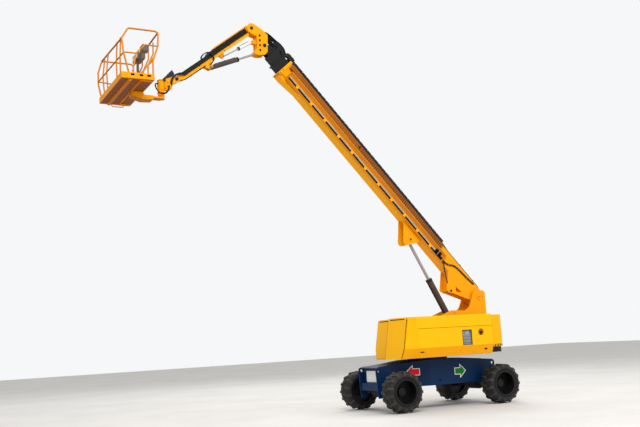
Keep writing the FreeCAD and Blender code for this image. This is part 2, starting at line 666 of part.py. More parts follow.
for end, sign in (("front", "1"), ("rear", "-1")):
    def along(near, far, sign=sign):
        return (near, far) if sign == "1" else ("-(%s)" % far, "-(%s)" % near)
    inside = ("-frame_neck + frame_wall", "frame_neck - frame_wall")
    frame_parts += [
        block("end panel " + end, along("end_panel_x", "end_panel_x + 20"), inside, ("690", "1054")),
        block("end foot " + end, along("end_panel_x + 86", "end_panel_x + 100"), inside, ("510", "690")),
        block("end shelf " + end, along("end_panel_x", "end_panel_x + 100"), inside, ("676", "690")),
        block("axle plate left " + end, along("1325", "1600"), ("256", "frame_neck - frame_wall"),
              ("axle_pad_top", "axle_pad_top + 22")),
        block("axle plate right " + end, along("1325", "1600"), ("-frame_neck + frame_wall", "-256"),
              ("axle_pad_top", "axle_pad_top + 22")),
        block("cross plate " + end, along("1230", "1250"), inside, ("560", "1100"))]
frame_holes = []
for end, sign in (("front", "1"), ("rear", "-1")):
    for side, across in (("left", ("frame_neck - frame_wall - 5", "frame_neck + 10")),
                         ("right", ("-frame_neck - 10", "-frame_neck + frame_wall + 5"))):
        frame_holes.append(bar("lashing eye %s %s" % (end, side), "Y", (sign + " * lashing_x", "lashing_z"),
                               across[0], across[1], "lashing_diameter / 2"))
through = ("frame_waist - 30", "frame_waist + 10")
frame_holes += [bar("drain slot fore", "Y", ("157", "666"), through[0], through[1], "17"),
                bar("drain slot aft", "Y", ("117", "666"), through[0], through[1], "17"),
                block("drain slot middle", ("117", "157"), through, ("649", "683"))]
node("chassis_frame", cut("ChassisFrame", fuse("FrameWhole", *frame_parts), *frame_holes))
node("slew_ring", cut("SlewRing",
                      bar("ring blank", "Z", ("0", "0"), "frame_top", "turret_floor - fit_gap", "ring_outer"),
                      bar("ring bore", "Z", ("0", "0"), "frame_top", "turret_floor - fit_gap",
                          "ring_inner")))

# Turret: base plate, uprights and their pins.
base_left = [("-1790", "242"), ("-1200", "hood_side - 150"), ("880", "hood_side - 150"),
             ("1270", "hood_side - 270"), ("1330", "262")]
base_right = [("1330", "-262"), ("880", "-262"), ("800", "270 - hood_side"), ("430", "150 - hood_side"),
              ("-1200", "150 - hood_side"), ("-1790", "-242")]
base_corners = base_left + base_right
upright_corners = outline("upright", (-1820, "turret_floor + 1"), (-1820, 2800), (-1760, 2862), (-1520, 2865),
                          (-1450, 2830), (-1335, 2548), (-1150, 2350), (-1082, 2352), (-706, 2370),
                          (-408, 2262), (-250, "turret_floor + 1"))
turret_parts = [prism("BasePlate", "XY", base_corners, "turret_floor", "turret_floor + turret_plate")]
for side, sign in SIDES:
    low, high = ("upright_inner", "upright_outer") if sign == "1" else ("-upright_outer", "-upright_inner")
    plate = prism("Upright" + side, "XZ", upright_corners, low, high)
    gap = bar("upright arc " + side, "Y", ("-1085", "2610"), low + " - 5", high + " + 5", "255")
    slot = bar("upright slot " + side, "Y", ("-790", "2300"), low + " - 5", high + " + 5", "20")
    turret_parts.append(cut("UprightCut" + side, plate, gap, slot))
turret_parts += [
    bar("pivot pin", "Y", ("pivot_x", "pivot_z"), "-upright_outer - 22", "upright_outer + 22",
        "pivot_pin_radius"),
    bar("lift base pin", "Y", ("lift_base_x", "lift_base_z"), "-upright_outer", "upright_outer",
        "lift_pin_radius"),
    block("rear brace", ("-1820", "-1800"), ("-upright_inner", "upright_inner"),
          ("turret_floor + 1", "2380")),
    block("front brace", ("-330", "-310"), ("-upright_inner", "upright_inner"), ("turret_floor + 1", "1330"))]
for side, sign in SIDES:
    low, high = (("upright_outer", "upright_outer + 20") if sign == "1"
                 else ("-upright_outer - 20", "-upright_outer"))
    turret_parts.append(bar("pivot boss " + side, "Y", ("pivot_x", "pivot_z"), low, high, "100"))
node("turret_frame", fuse("TurretFrame", *turret_parts))
# Sheets beside the slot; their top edges carry the hood hinges' lugs and pins.
HINGES = {"left": ("-1000", "-120", "760"), "right": ("-1000", "-320", "360")}
sheets = []
for side, sign in SIDES:
    back = "0" if side == "left" else "far_setback"
    sheet_corners = outline("slot_sheet_" + side, ("hood_rear + 8", "turret_floor + turret_plate"),
                            ("nose_low_x - 5 - " + back, "turret_floor + turret_plate"),
                            ("nose_top_x - " + back + " + 9", "hood_hinge_z - 20"),
                            ("hood_rear + 8", "hood_hinge_z - 20"))

    def beside(near, far, sign=sign):
        return (near, far) if sign == "1" else ("-(%s)" % far, "-(%s)" % near)
    low, high = beside("slot_half", "slot_half + slot_sheet")
    pieces = [prism("SlotSheet" + side, "XZ", sheet_corners, low, high)]
    for x in HINGES[side]:
        for shift in ("- 68", "+ 56"):
            span = ("%s %s" % (x, shift), "%s %s + 12" % (x, shift))
            pieces.append(block("lug foot", span, beside("slot_half + slot_sheet", "hood_hinge_y + 10"),
                                ("hood_hinge_z - 45", "hood_hinge_z - 20")))
            pieces.append(block("lug", span, beside("hood_hinge_y - 8", "hood_hinge_y + 10"),
                                ("hood_hinge_z - 20", "hood_hinge_z + 8")))
        pieces.append(bar("hood pin", "X", (sign + " * hood_hinge_y", "hood_hinge_z"), x + " - 68",
                          x + " + 68", "7"))
    sheets.append(fuse("SlotSide" + side, *pieces))
node("slot_sheets", group("SlotSheets", *sheets))


# Counterweight casting: rounded rear corners, a bowed rear face and the notch round the uprights.
def weight_block(inset, low, high, notch):
    side = size("weight_side") - inset
    corner = size("weight_corner")
    rear = size("weight_rear") + inset
    front = size("weight_front")
    shoulder = size("weight_shoulder")
    bow = side - corner
    k = corner * math.sqrt(0.5)
    points = [V(front, side, low), V(shoulder, side, low),
              ("mid", V(shoulder - k, bow + k, low)), V(shoulder - corner, bow, low),
              ("mid", V(rear, 0, low)), V(shoulder - corner, -bow, low),
              ("mid", V(shoulder - k, -bow - k, low)), V(shoulder, -side, low), V(front, -side, low)]
    whole = Part.Face(contour(points)).extrude(V(0, 0, high - low))
    half_slot = size("slot_half")
    return whole.cut(Part.makeBox(front - notch + 10, 2 * half_slot, high - low + 2,
                                  V(notch, -half_slot, low - 1)))


node("counterweight", solid("Counterweight", weight_block(0, size("weight_low"), size("weight_high"),
                                                          size("weight_notch"))))
node("counterweight_base", solid("CounterweightBase", weight_block(
    60, size("turret_floor + turret_plate"), size("weight_low"), size("weight_rear - 20"))))


# Hoods: lofts through four plan sections, hollow below and toward the slot.
def hood_levels():
    return (("hood_bottom", "hood_side_low"), ("hood_crease", "hood_side"),
            ("hood_shoulder", "hood_side"), ("hood_top", "hood_side_top"))


def slope(low_name, high_name, level):
    t = (level - size("hood_bottom")) / size("hood_top - hood_bottom")
    return size(low_name) + t * (size(high_name) - size(low_name))


def hood_plan(level, side_y, sign, setback, wall, over):
    """One plan section; wall moves the side inward, over carries the open ends outward."""
    facet_x = slope("facet_low_x", "facet_top_x", level) - setback
    seam_x = slope("seam_low_x", "seam_top_x", level) - setback
    nose_x = slope("nose_low_x", "nose_top_x", level) - setback
    seam_y = side_y - size("seam_inset")
    fall = (side_y - seam_y) / (seam_x - facet_x)
    back = size("cover_wall + cover_gap") - over
    inner_y = size("hood_inner") - over
    points = [(size("hood_rear") - over, inner_y), (size("hood_rear") - over, side_y - wall),
              (facet_x - 0.35 * wall, side_y - wall),
              (seam_x - back, seam_y + back * fall - 1.1 * wall), (nose_x - back, inner_y)]
    points = [V(x, sign * y, level) for x, y in points]
    return Part.makePolygon(points + [points[0]])


def upright_solid(sections):
    """Ruled loft through plan sections, with its faces outward."""
    shape = Part.makeLoft(sections, True, True)
    if shape.Volume < 0:
        shape.reverse()
    return shape


def hood_shape(sign, setback):
    wall = size("hood_wall")
    outside = [hood_plan(size(z), size(y), sign, setback, 0, 0) for z, y in hood_levels()]
    inside = [hood_plan(size(z), size(y), sign, setback, wall, 30) for z, y in hood_levels()]
    inside[0].translate(V(0, 0, -0.5))
    inside[2].translate(V(0, 0, -8))
    inside[3].translate(V(0, 0, -wall))
    shell = upright_solid(outside).cut(upright_solid(inside))
    for x in HINGES["left" if sign > 0 else "right"]:
        eye = V(size(x) - 50, sign * size("hood_hinge_y"), size("hood_hinge_z"))
        shell = shell.fuse(Part.makeCylinder(15, 100, eye, V(1, 0, 0)))
        shell = shell.cut(Part.makeCylinder(7 + size("fit_gap"), 100, eye, V(1, 0, 0)))
    return shell


def cover_plan(level, side_y, sign, setback):
    seam_x = slope("seam_low_x", "seam_top_x", level) - setback
    nose_x = slope("nose_low_x", "nose_top_x", level) - setback
    seam_y = side_y - size("seam_inset")
    wall = size("cover_wall")
    inner_y = size("slot_half + slot_sheet")
    points = [(seam_x, seam_y), (nose_x, inner_y), (nose_x - wall, inner_y),
              (seam_x - wall, seam_y)]
    points = [V(x, sign * y, level) for x, y in points]
    return Part.makePolygon(points + [points[0]])


for side, sign in SIDES:
    setback = 0 if sign == "1" else size("far_setback")
    shape = hood_shape(int(sign), setback)
    if sign == "1":
        window = Part.makeBox(size("window_front - window_rear"), 60, size("window_high - window_low"),
                              V(size("window_rear"), size("hood_side") - 40, size("window_low")))
        latch = Part.makeCylinder(size("latch_radius"), 8, V(size("latch_x"), size("hood_side") - 6,
                                                             size("latch_z")), V(0, 1, 0))
        shape = shape.cut(window).cut(latch)
    depth = size("groove_depth")
    length = slope("facet_low_x", "facet_top_x", size("hood_groove")) - setback - size("hood_rear")
    start_y = size("hood_side") - depth if sign == "1" else -size("hood_side") - 1
    shape = shape.cut(Part.makeBox(length, depth + 1, 2 * depth,
                                   V(size("hood_rear"), start_y, size("hood_groove") - depth)))
    node("hood_" + side, solid("Hood" + side, shape))
    sections = [cover_plan(size(z), size(y), int(sign), setback) for z, y in hood_levels()]
    node("cover_front_" + side, solid("Cover" + side, upright_solid(sections)))

# Machinery under the hoods.
node("engine_block", block("EngineBlock", ("-950", "250"), ("-hood_side + 190", "-400"),
                           ("turret_floor + turret_plate", "2020")))
node("tank_block", group(
    "TankBlock",
    block("fuel tank", ("620", "1130"), ("380", "hood_side - 240"), ("turret_floor + turret_plate", "1960")),
    block("oil tank", ("60", "600"), ("380", "hood_side - 190"), ("turret_floor + turret_plate", "1960"))))
node("ground_controls", fuse(
    "GroundControls",
    block("control box", ("window_rear - 40", "window_front + 40"), ("hood_side - 240", "hood_side - 40"),
          ("window_low - 20", "window_high + 20")),
    block("control stand", ("-480", "-350"), ("hood_side - 240", "hood_side - 150"),
          ("turret_floor + turret_plate", "window_low"))))

# Boom, outer section: box, foot plates, collar, lift bracket and wear pads.
foot_corners = outline("foot", (1180, "outer_high"), (60, "outer_high"), (-70, 160), (-150, 104), (-185, 20),
                       (-172, -80), (-120, -160), (-30, -214), (96, -235), (770, -595), (820, -598),
                       (850, -560), (1130, "outer_low"), (1180, "outer_low"))
foot_window = outline("foot_window", (690, -325), (430, -298), (592, -412))
bracket_corners = outline("bracket", (2950, "outer_low"), (2560, -640), (2500, -660), (2440, -640),
                          (2300, -420), (2200, "outer_low"))
wedge_corners = outline("wedge", (7000, "outer_low"), (7660, -300), ("outer_tip - collar_length", -300),
                        ("outer_tip - collar_length", "outer_low"))


def box_section(name, start, end, half, low, high, wall):
    whole = block(name + "Whole", (start, end), ("-" + half, half), (low, high))
    space = block(name + "Space", (start, end), ("-%s + %s" % (half, wall), "%s - %s" % (half, wall)),
                  ("%s + %s" % (low, wall), "%s - %s" % (high, wall)))
    return cut(name + "Box", whole, space)


def wear_pads(name, start, half_out, low_out, high_out, half_in, low_in, high_in):
    """Four pads that fill the space between an outer wall and the section inside it."""
    end = start + " + pad_length"
    return [block(name + " pad left", (start, end), (half_in, half_out), ("-pad_half", "pad_half")),
            block(name + " pad right", (start, end), ("-(%s)" % half_out, "-(%s)" % half_in),
                  ("-pad_half", "pad_half")),
            block(name + " pad top", (start, end), ("-pad_half", "pad_half"), (high_in, high_out)),
            block(name + " pad low", (start, end), ("-pad_half", "pad_half"), (low_out, low_in))]


outer_box = box_section("Outer", "outer_rear", "outer_tip", "outer_half", "outer_low", "outer_high",
                        "outer_wall")
outer_parts = [outer_box,
               block("rear plate", ("outer_rear", "outer_rear + 12"), ("-foot_inner", "foot_inner"),
                     ("outer_low", "outer_high"))]
for side, sign in SIDES:
    low, high = ("foot_inner", "outer_half") if sign == "1" else ("-outer_half", "-foot_inner")
    outer_parts.append(cut("FootPlate" + side, prism("Foot" + side, "XZ", foot_corners, low, high),
                           prism("FootWindow" + side, "XZ", foot_window, low + " - 1", high + " + 1")))
    outer_parts.append(bar("foot boss " + side, "Y", ("0", "0"),
                           "outer_half" if sign == "1" else "-upright_inner + run_gap",
                           "upright_inner - run_gap" if sign == "1" else "-outer_half", "95"))
    outer_parts.append(bar("foot pin " + side, "Y", ("715", "-520"),
                           low, high + (" + 14" if sign == "1" else ""), "50"))
    low, high = (("lift_bracket_inner", "lift_bracket_outer") if sign == "1"
                 else ("-lift_bracket_outer", "-lift_bracket_inner"))
    outer_parts.append(prism("LiftBracket" + side, "XZ", bracket_corners, low, high))
outer_parts += [
    bar("pivot tube", "Y", ("0", "0"), "-foot_inner", "foot_inner", "90"),
    bar("lift pin cap left", "Y", ("lift_pin_x", "lift_pin_z"), "lift_bracket_outer",
        "lift_bracket_outer + 12", "lift_pin_radius + 16"),
    bar("lift pin cap right", "Y", ("lift_pin_x", "lift_pin_z"), "-lift_bracket_outer - 12",
        "-lift_bracket_outer", "lift_pin_radius + 16"),
    prism("FootFront", "XZ", outline("foot_front", (738, -560), (750, -560), (1030, "outer_low"),
                                     (1014, "outer_low")), "-foot_inner", "foot_inner"),
    prism("Wedge", "XZ", wedge_corners, "-120", "120"),
    cut("Collar",
        block("collar blank", ("outer_tip - collar_length", "outer_tip"), ("-collar_half", "collar_half"),
              ("collar_low", "collar_high")),
        block("collar bore", ("outer_tip - collar_length", "outer_tip"),
              ("-outer_half + outer_wall", "outer_half - outer_wall"),
              ("outer_low + outer_wall", "outer_high - outer_wall")))]
outer_parts += wear_pads("outer", "outer_tip - pad_length", "outer_half - outer_wall",
                         "outer_low + outer_wall", "outer_high - outer_wall",
                         "mid_half + fit_gap", "mid_low - fit_gap", "mid_high + fit_gap")
outer_boom = cut("OuterBoom", fuse("OuterBoomWhole", *outer_parts),
                 bar("pivot bore", "Y", ("0", "0"), "-upright_inner", "upright_inner",
                     "pivot_pin_radius + fit_gap"))
node("boom_outer", outer_boom, BOOM)

# Middle and inner boom sections; each carries pads at its front inside and at its rear outside.
mid_parts = [box_section("Mid", "mid_rear", "mid_tip", "mid_half", "mid_low", "mid_high", "mid_wall")]
mid_parts += wear_pads("mid front", "mid_tip - pad_length", "mid_half - mid_wall", "mid_low + mid_wall",
                       "mid_high - mid_wall", "inner_half + fit_gap", "inner_low - fit_gap",
                       "inner_high + fit_gap")
mid_parts += wear_pads("mid rear", "mid_rear", "outer_half - outer_wall - fit_gap",
                       "outer_low + outer_wall + fit_gap", "outer_high - outer_wall - fit_gap",
                       "mid_half", "mid_low", "mid_high")
node("boom_mid", fuse("MidBoom", *mid_parts), BOOM)

nose_corners = outline("nose", (8180, -150), (8180, 120), (8330, 120), (8440, 95), (8600, -5), (8632, -60),
                       (8600, -118), (8540, -135))
inner_parts = [box_section("Inner", "inner_rear", "inner_tip", "inner_half", "inner_low", "inner_high",
                           "inner_wall"),
               block("nose end plate", ("inner_tip - 12", "inner_tip"), ("-inner_half", "inner_half"),
                     ("inner_low", "inner_high"))]
for side, sign in SIDES:
    low, high = ("nose_inner", "nose_outer") if sign == "1" else ("-nose_outer", "-nose_inner")
    inner_parts.append(prism("Nose" + side, "XZ", nose_corners, low, high))
inner_parts += wear_pads("inner rear", "inner_rear", "mid_half - mid_wall - fit_gap",
                         "mid_low + mid_wall + fit_gap", "mid_high - mid_wall - fit_gap",
                         "inner_half", "inner_low", "inner_high")
inner_parts.append(prism("HoseGuard", "XZ",
                         outline("guard", (8000, 158), (8000, 190), (8100, 272), (8230, 328),
                                 (8360, 326), (8440, 282), (8470, 212), (8420, 176), (8360, 222),
                                 (8250, 232), (8120, 196)),
                         "-guard_half", "guard_half"))
for side, sign in SIDES:
    low, high = ("guard_half - 14", "guard_half") if sign == "1" else ("-guard_half", "-guard_half + 14")
    inner_parts.append(prism("GuardLeg" + side, "XZ",
                             outline("guard_leg_" + side, (8180, 120), (8300, 120), (8330, 240), (8230, 240)),
                             low, high))
inner_parts.append(bar("nose tube", "Y", ("head_pin_x", "head_pin_z"), "-nose_outer", "nose_outer", "52"))
node("boom_inner", cut("InnerBoom", fuse("InnerBoomWhole", *inner_parts),
                       bar("nose bore", "Y", ("head_pin_x", "head_pin_z"), "-nose_outer - 1",
                           "nose_outer + 1", "head_pin_radius + fit_gap")), BOOM)

# Cable tray on the left side of the boom, with its slots, the chain inside and the ribbed carrier.
tray_cuts = [block("tray space", ("tray_rear + tray_wall", "tray_front - tray_wall"),
                   ("outer_half + fit_gap + tray_wall", "tray_outer - tray_wall"),
                   ("tray_low + tray_wall", "tray_high - tray_wall"))]
for number in range(-1, 11):
    start = "first_bar + %d * slot_pitch + slot_bar / 2" % number
    end = "first_bar + %d * slot_pitch - slot_bar / 2" % (number + 1)
    if number == -1:
        start = "tray_rear + 50"
    if number == 10:
        end = "tray_front - 40"
    tray_cuts.append(block("tray slot %d" % (number + 2), (start, end),
                           ("tray_outer - tray_wall - 1", "tray_outer"), ("slot_low", "slot_high")))
node("cable_tray", cut("CableTray",
                       block("tray blank", ("tray_rear", "tray_front"),
                             ("outer_half + fit_gap", "tray_outer"), ("tray_low", "tray_high")),
                       *tray_cuts), BOOM)
chain = block("chain run", ("tray_rear + 40", "tray_front - 40"), ("chain_inner", "tray_outer - tray_wall"),
              ("chain_low", "chain_high"))
node("tray_chain", group("TrayChain", chain), BOOM)
band = block("carrier band", ("band_rear", "band_front"), ("outer_half + fit_gap", "band_outer"),
             ("band_low", "band_high"))
node("ribbed_carrier", group("RibbedCarrier", band), BOOM)
top_run = comb("TopRun", "top_band_rear", "outer_tip - collar_length - fit_gap", "outer_high + fit_gap",
               "top_band_high", "top_band_high - 18", "top_band_inner", "top_band_outer")
top_end = block("top band end", ("outer_tip - collar_length - 20", "top_band_front"),
                ("top_band_inner", "top_band_outer"), ("collar_high + fit_gap", "top_band_high"))
node("top_carrier", fuse("TopBand", top_run, top_end), BOOM)

# Hoses from the top carrier's rear end over the foot into the rear plate, held all the way.
hoses = []
hose = size("hose_radius")
carrier_end = size("top_band_rear")
rear_plate = size("outer_rear")
above = size("outer_high") + hose + 6
for row in range(3):
    across = size("top_band_inner") + hose + 4 + row * (2 * hose + 8)
    run = tube([(carrier_end - hose, across, size("top_band_high - 55")), (carrier_end - 260, across, above),
                (rear_plate - 70, across, above), (rear_plate - 70, across, above - 120),
                (rear_plate, across, above - 120)], hose, 42)
    hoses.append(solid("BoomHose%d" % (row + 1), run))
node("boom_hoses", group("BoomHoses", *hoses), BOOM)


# Hydraulic cylinders: barrel and rod lie along X from the barrel's pin, then are laid on their pins.
# Each barrel is bored from its closed end to a gland, and the rod carries its piston inside.
def barrel(name, length, radius, rod_radius, bore_radius, closed, pin, eye, half):
    section = [("0", "0"), ("0", "%s * 0.6" % radius), ("%s * 0.5" % eye, radius), (length, radius),
               (length, "%s + fit_gap" % rod_radius), ("%s - gland * %s" % (length, radius),
                                                       "%s + fit_gap" % rod_radius),
               ("%s - gland * %s" % (length, radius), bore_radius), (closed, bore_radius), (closed, "0")]
    body = turned(name + "Turned", "X", section)
    whole = fuse(name + "Whole", body, bar(name + " eye", "Y", ("0", "0"), "-" + half, half, eye))
    return cut(name, whole, bar(name + " bore", "Y", ("0", "0"), "-%s - 1" % half, half + " + 1",
                                pin + " + fit_gap"))


def rod(name, start, length, radius, bore_radius, pin, eye, half, seat):
    """Rod with piston and eye; its pin reaches the inner faces of the lugs it works between."""
    return fuse(name, bar(name + " bar", "X", ("0", "0"), start, length, radius),
                bar(name + " piston", "X", ("0", "0"), start, "%s + gland * %s" % (start, bore_radius),
                    "%s - fit_gap" % bore_radius),
                bar(name + " eye", "Y", (length, "0"), "-" + half, half, eye),
                bar(name + " pin", "Y", (length, "0"), "-%s + fit_gap" % seat, "%s - fit_gap" % seat, pin))


def boom_point(along, normal):
    """World position of a point given in the boom's frame, as two expressions."""
    return ("pivot_x + (%s) * cos(boom_angle) - (%s) * sin(boom_angle)" % (along, normal),
            "pivot_z + (%s) * sin(boom_angle) + (%s) * cos(boom_angle)" % (along, normal))


def jib_point(along, normal):
    return ("jib_x + (%s) * cos(jib_angle) - (%s) * sin(jib_angle)" % (along, normal),
            "jib_z + (%s) * sin(jib_angle) + (%s) * cos(jib_angle)" % (along, normal))


def number(text):
    """Value of an expression with sines and cosines of the angles in the sheet."""
    for angle in ("boom_angle", "jib_angle"):
        text = text.replace("cos(%s)" % angle, repr(math.cos(math.radians(size(angle)))))
        text = text.replace("sin(%s)" % angle, repr(math.sin(math.radians(size(angle)))))
    return size(text)


def between(name, first, second):
    """Writes a cylinder's pin distance and slope to the sheet and gives back its frame."""
    x0, z0 = number(first[0]), number(first[1])
    x1, z1 = number(second[0]), number(second[1])
    note(name + "_span", round(math.hypot(x1 - x0, z1 - z0), 3), name + " cylinder between its pins")
    note(name + "_slope", round(math.degrees(math.atan2(z1 - z0, x1 - x0)), 5), name + " cylinder's slope")
    note(name + "_foot_x", round(x0, 3), name + " cylinder's barrel pin")
    note(name + "_foot_z", round(z0, 3), name + " cylinder's barrel pin height")
    sheet.recompute()
    return (name + "_foot_x", "0", name + "_foot_z", name + "_slope")


LIFT = between("lift", ("lift_base_x", "lift_base_z"), boom_point("lift_pin_x", "lift_pin_z"))
RAM = between("ram", jib_point("ram_base_x", "ram_base_z"), ("jib_x + ram_head_x", "jib_z + ram_head_z"))
LEVEL = between("level", ("jib_x + level_base_x", "jib_z + level_base_z"),
                jib_point("level_rod_x", "level_rod_z"))
node("lift_barrel", barrel("LiftBarrel", "lift_barrel", "lift_barrel_radius", "lift_rod_radius",
                           "lift_bore_radius", "lift_closed", "lift_pin_radius", "75", "90"), LIFT)
node("lift_rod", rod("LiftRod", "lift_piston", "lift_span", "lift_rod_radius", "lift_bore_radius",
                     "lift_pin_radius", "90", "70", "lift_bracket_inner"), LIFT)
node("jib_ram_barrel", barrel("RamBarrel", "ram_barrel", "ram_radius", "ram_rod_radius", "ram_bore_radius",
                              "ram_closed", "ram_pin_radius", "40", "56"), RAM)
node("jib_ram_rod", rod("RamRod", "ram_piston", "ram_span", "ram_rod_radius", "ram_bore_radius",
                        "ram_pin_radius", "38", "38", "ram_lug_inner"), RAM)
node("level_barrel", barrel("LevelBarrel", "level_barrel", "level_radius", "level_rod_radius",
                            "level_bore_radius", "level_closed", "level_pin_radius", "24", "42"), LEVEL)
node("level_rod", rod("LevelRod", "level_piston", "level_span", "level_rod_radius", "level_bore_radius",
                      "level_pin_radius", "20", "17", "level_lug_inner"), LEVEL)

# Boom head: levelled bracket between the boom's nose and the jib.
head_plate = outline("head", (-420, -120), (-400, -560), (-330, -640), (-170, -668), (-60, -640),
                     (-70, -560), (-130, -500), (-130, -120))
cheek_plate = outline("cheek", (-410, -180), (-400, -110), (-300, -16), (-60, 122), (48, 122), (122, 34),
                      (90, -90), (-60, -160), (-130, -180))
level_lug = outline("level_lug", (-135, -388), (-135, -258), (-45, -280), (0, -303), (0, -336), (-30, -356))
head_parts = []
for side, sign in SIDES:
    def lateral(near, far, sign=sign):
        return (near, far) if sign == "1" else ("-(%s)" % far, "-(%s)" % near)
    low, high = lateral("head_inner", "head_outer")
    head_parts.append(prism("HeadPlate" + side, "XZ", head_plate, low, high))
    low, high = lateral("cheek_inner", "cheek_outer")
    head_parts.append(prism("Cheek" + side, "XZ", cheek_plate, low, high))
    low, high = lateral("44", "56")
    head_parts.append(prism("LevelLug" + side, "XZ", level_lug, low, high))
    low, high = lateral("ram_lug_inner", "ram_lug_inner + 15")
    head_parts.append(prism("RamLug" + side, "XZ",
                            outline("ram_lug_" + side, (-150, -680), (-150, -500), (-130, -500), (-85, -560),
                                    (-80, -640), (-110, -680)), low, high))
    low, high = lateral("ram_lug_inner + 15", "ram_lug_inner + 24")
    head_parts.append(bar("ram pin cap " + side, "Y", ("ram_head_x", "ram_head_z"), low, high,
                          "ram_pin_radius + 8"))
front_face = block("head front", ("-145", "-130"), ("-head_inner", "head_inner"), ("-560", "-120"))
front_holes = [bar("head hole %d" % (i + 1), "X", (y, z), "-146", "-129", "26")
               for i, (y, z) in enumerate((("-58", "-190"), ("58", "-190"), ("-70", "-400"), ("70", "-400")))]
head_parts += [
    cut("HeadFront", front_face, *front_holes),
    block("head roof", ("-400", "-130"), ("-head_inner", "head_inner"), ("-134", "-120")),
    bar("head pin", "Y", ("-jib_reach", "-jib_rise"), "-head_outer - 10", "head_outer + 10",
        "head_pin_radius"),
    bar("jib pin", "Y", ("0", "0"), "-cheek_outer - 14", "cheek_outer + 14", "jib_pin_radius"),
    bar("level pin", "Y", ("level_base_x", "level_base_z"), "-62", "62", "level_pin_radius")]
node("head_bracket", fuse("HeadBracket", *head_parts), HEAD)

# Jib beam with its brackets.
jib_corners = outline("jib", (-62, -10), (-30, 58), (70, 125), (1140, 125), (1260, 68),
                      ("jib_length - 20", 58), ("jib_length + 42", 20), ("jib_length + 42", -25),
                      ("jib_length - 20", -62), ("jib_length - 180", -100), (160, -105), (10, -62))
jib_space = outline("jib_space", (110, 118), (1136, 118), (1256, 60), ("jib_length - 90", 52),
                    ("jib_length - 90", -50), ("jib_length - 190", -93), (170, -98))
jib_parts = [cut("JibBeam", prism("JibWhole", "XZ", jib_corners, "-jib_half", "jib_half"),
                 prism("JibSpace", "XZ", jib_space, "-jib_half + jib_wall", "jib_half - jib_wall")),
             bar("jib root tube", "Y", ("0", "0"), "-cheek_inner + run_gap", "cheek_inner - run_gap", "56"),
             bar("jib end tube", "Y", ("jib_length", "0"), "-85", "85", "42"),
             bar("jib ram pin", "Y", ("ram_base_x", "ram_base_z"), "-76", "76", "ram_pin_radius")]
ram_bracket = outline("ram_bracket", (1390, -95), (1650, -95), (1560, -248), (1460, -248))
level_bracket = outline("level_bracket", (980, -100), (1140, -100), (1090, -196), (1030, -196))
for side, sign in SIDES:
    for name, corners, near, far in (("RamBracket", ram_bracket, "58", "70"),
                                     ("LevelBracket", level_bracket, "level_lug_inner",
                                      "level_lug_inner + 10")):
        low, high = (near, far) if sign == "1" else ("-(%s)" % far, "-(%s)" % near)
        jib_parts.append(prism(name + side, "XZ", corners, low, high))
node("jib_arm", cut("JibArm", fuse("JibArmWhole", *jib_parts),
                    bar("jib root bore", "Y", ("0", "0"), "-cheek_inner", "cheek_inner",
                        "jib_pin_radius + fit_gap"),
                    bar("jib end bore", "Y", ("jib_length", "0"), "-86", "86", "jib_pin_radius + fit_gap")),
     JIB)

# Hose band on the jib's left side.
hose_band = outline("hose_band", (140, 5), (1380, 5), (1520, -15), ("jib_length - 130", -15),
                    ("jib_length - 90", 14), ("jib_length - 130", 40), (1540, 40), (1380, 65), (152, 65))
node("jib_hoses", prism("JibHoses", "XZ", hose_band, "jib_half + fit_gap", "jib_half + 26"), JIB)

# Platform bracket: cheeks round the jib's end, rotator housing and its turning arm.
MOUNT = ("jib_end_x", "0", "jib_end_z", "0")
mount_cheek = outline("mount_cheek", (-52, -40), (-52, 30), (-20, 58), (60, 58), (260, -20), (260, -250),
                      (180, -250), (60, -110), (0, -66))
mount_parts = []
for side, sign in SIDES:
    low, high = ("92", "106") if sign == "1" else ("-106", "-92")
    mount_parts.append(prism("MountCheek" + side, "XZ", mount_cheek, low, high))
mount_parts += [
    bar("platform pin", "Y", ("0", "0"), "-118", "118", "jib_pin_radius"),
    block("mount web", ("110", "290"), ("-92", "92"), ("-230", "-40")),
    prism("ValveCover", "XZ", outline("valve_cover", (50, 110), (106, 208), (327, -30), (285, -85)),
          "-100", "100"),
    bar("rotator housing", "Z", ("rotator_reach", "0"), "rotator_low + 85 + fit_gap - jib_end_z",
        "rotator_high - jib_end_z", "rotator_radius")]
node("platform_mount", fuse("PlatformMount", *mount_parts), MOUNT)
support_beam = [("rotator_x + 225", "floor_low - 60"), ("rotator_x + 225", "floor_low - 150"),
                ("rotator_x + 460", "floor_low - 165"), ("rotator_x + 710", "floor_low - 90"),
                ("rotator_x + 710", "floor_low - fit_gap"), ("rotator_x + 455", "floor_low - fit_gap"),
                ("rotator_x + 430", "floor_low - 60")]
support_parts = [
    bar("rotator foot", "Z", ("rotator_x", "0"), "rotator_low - 130", "rotator_low + 85",
        "rotator_radius - 8"),
    block("rotator arm", ("rotator_x", "rotator_x + 470"), ("-110", "110"),
          ("rotator_low - 130", "rotator_low - 95")),
    prism("SupportBeam", "XZ", support_beam, "-140", "140")]
node("platform_support", fuse("PlatformSupport", *support_parts))

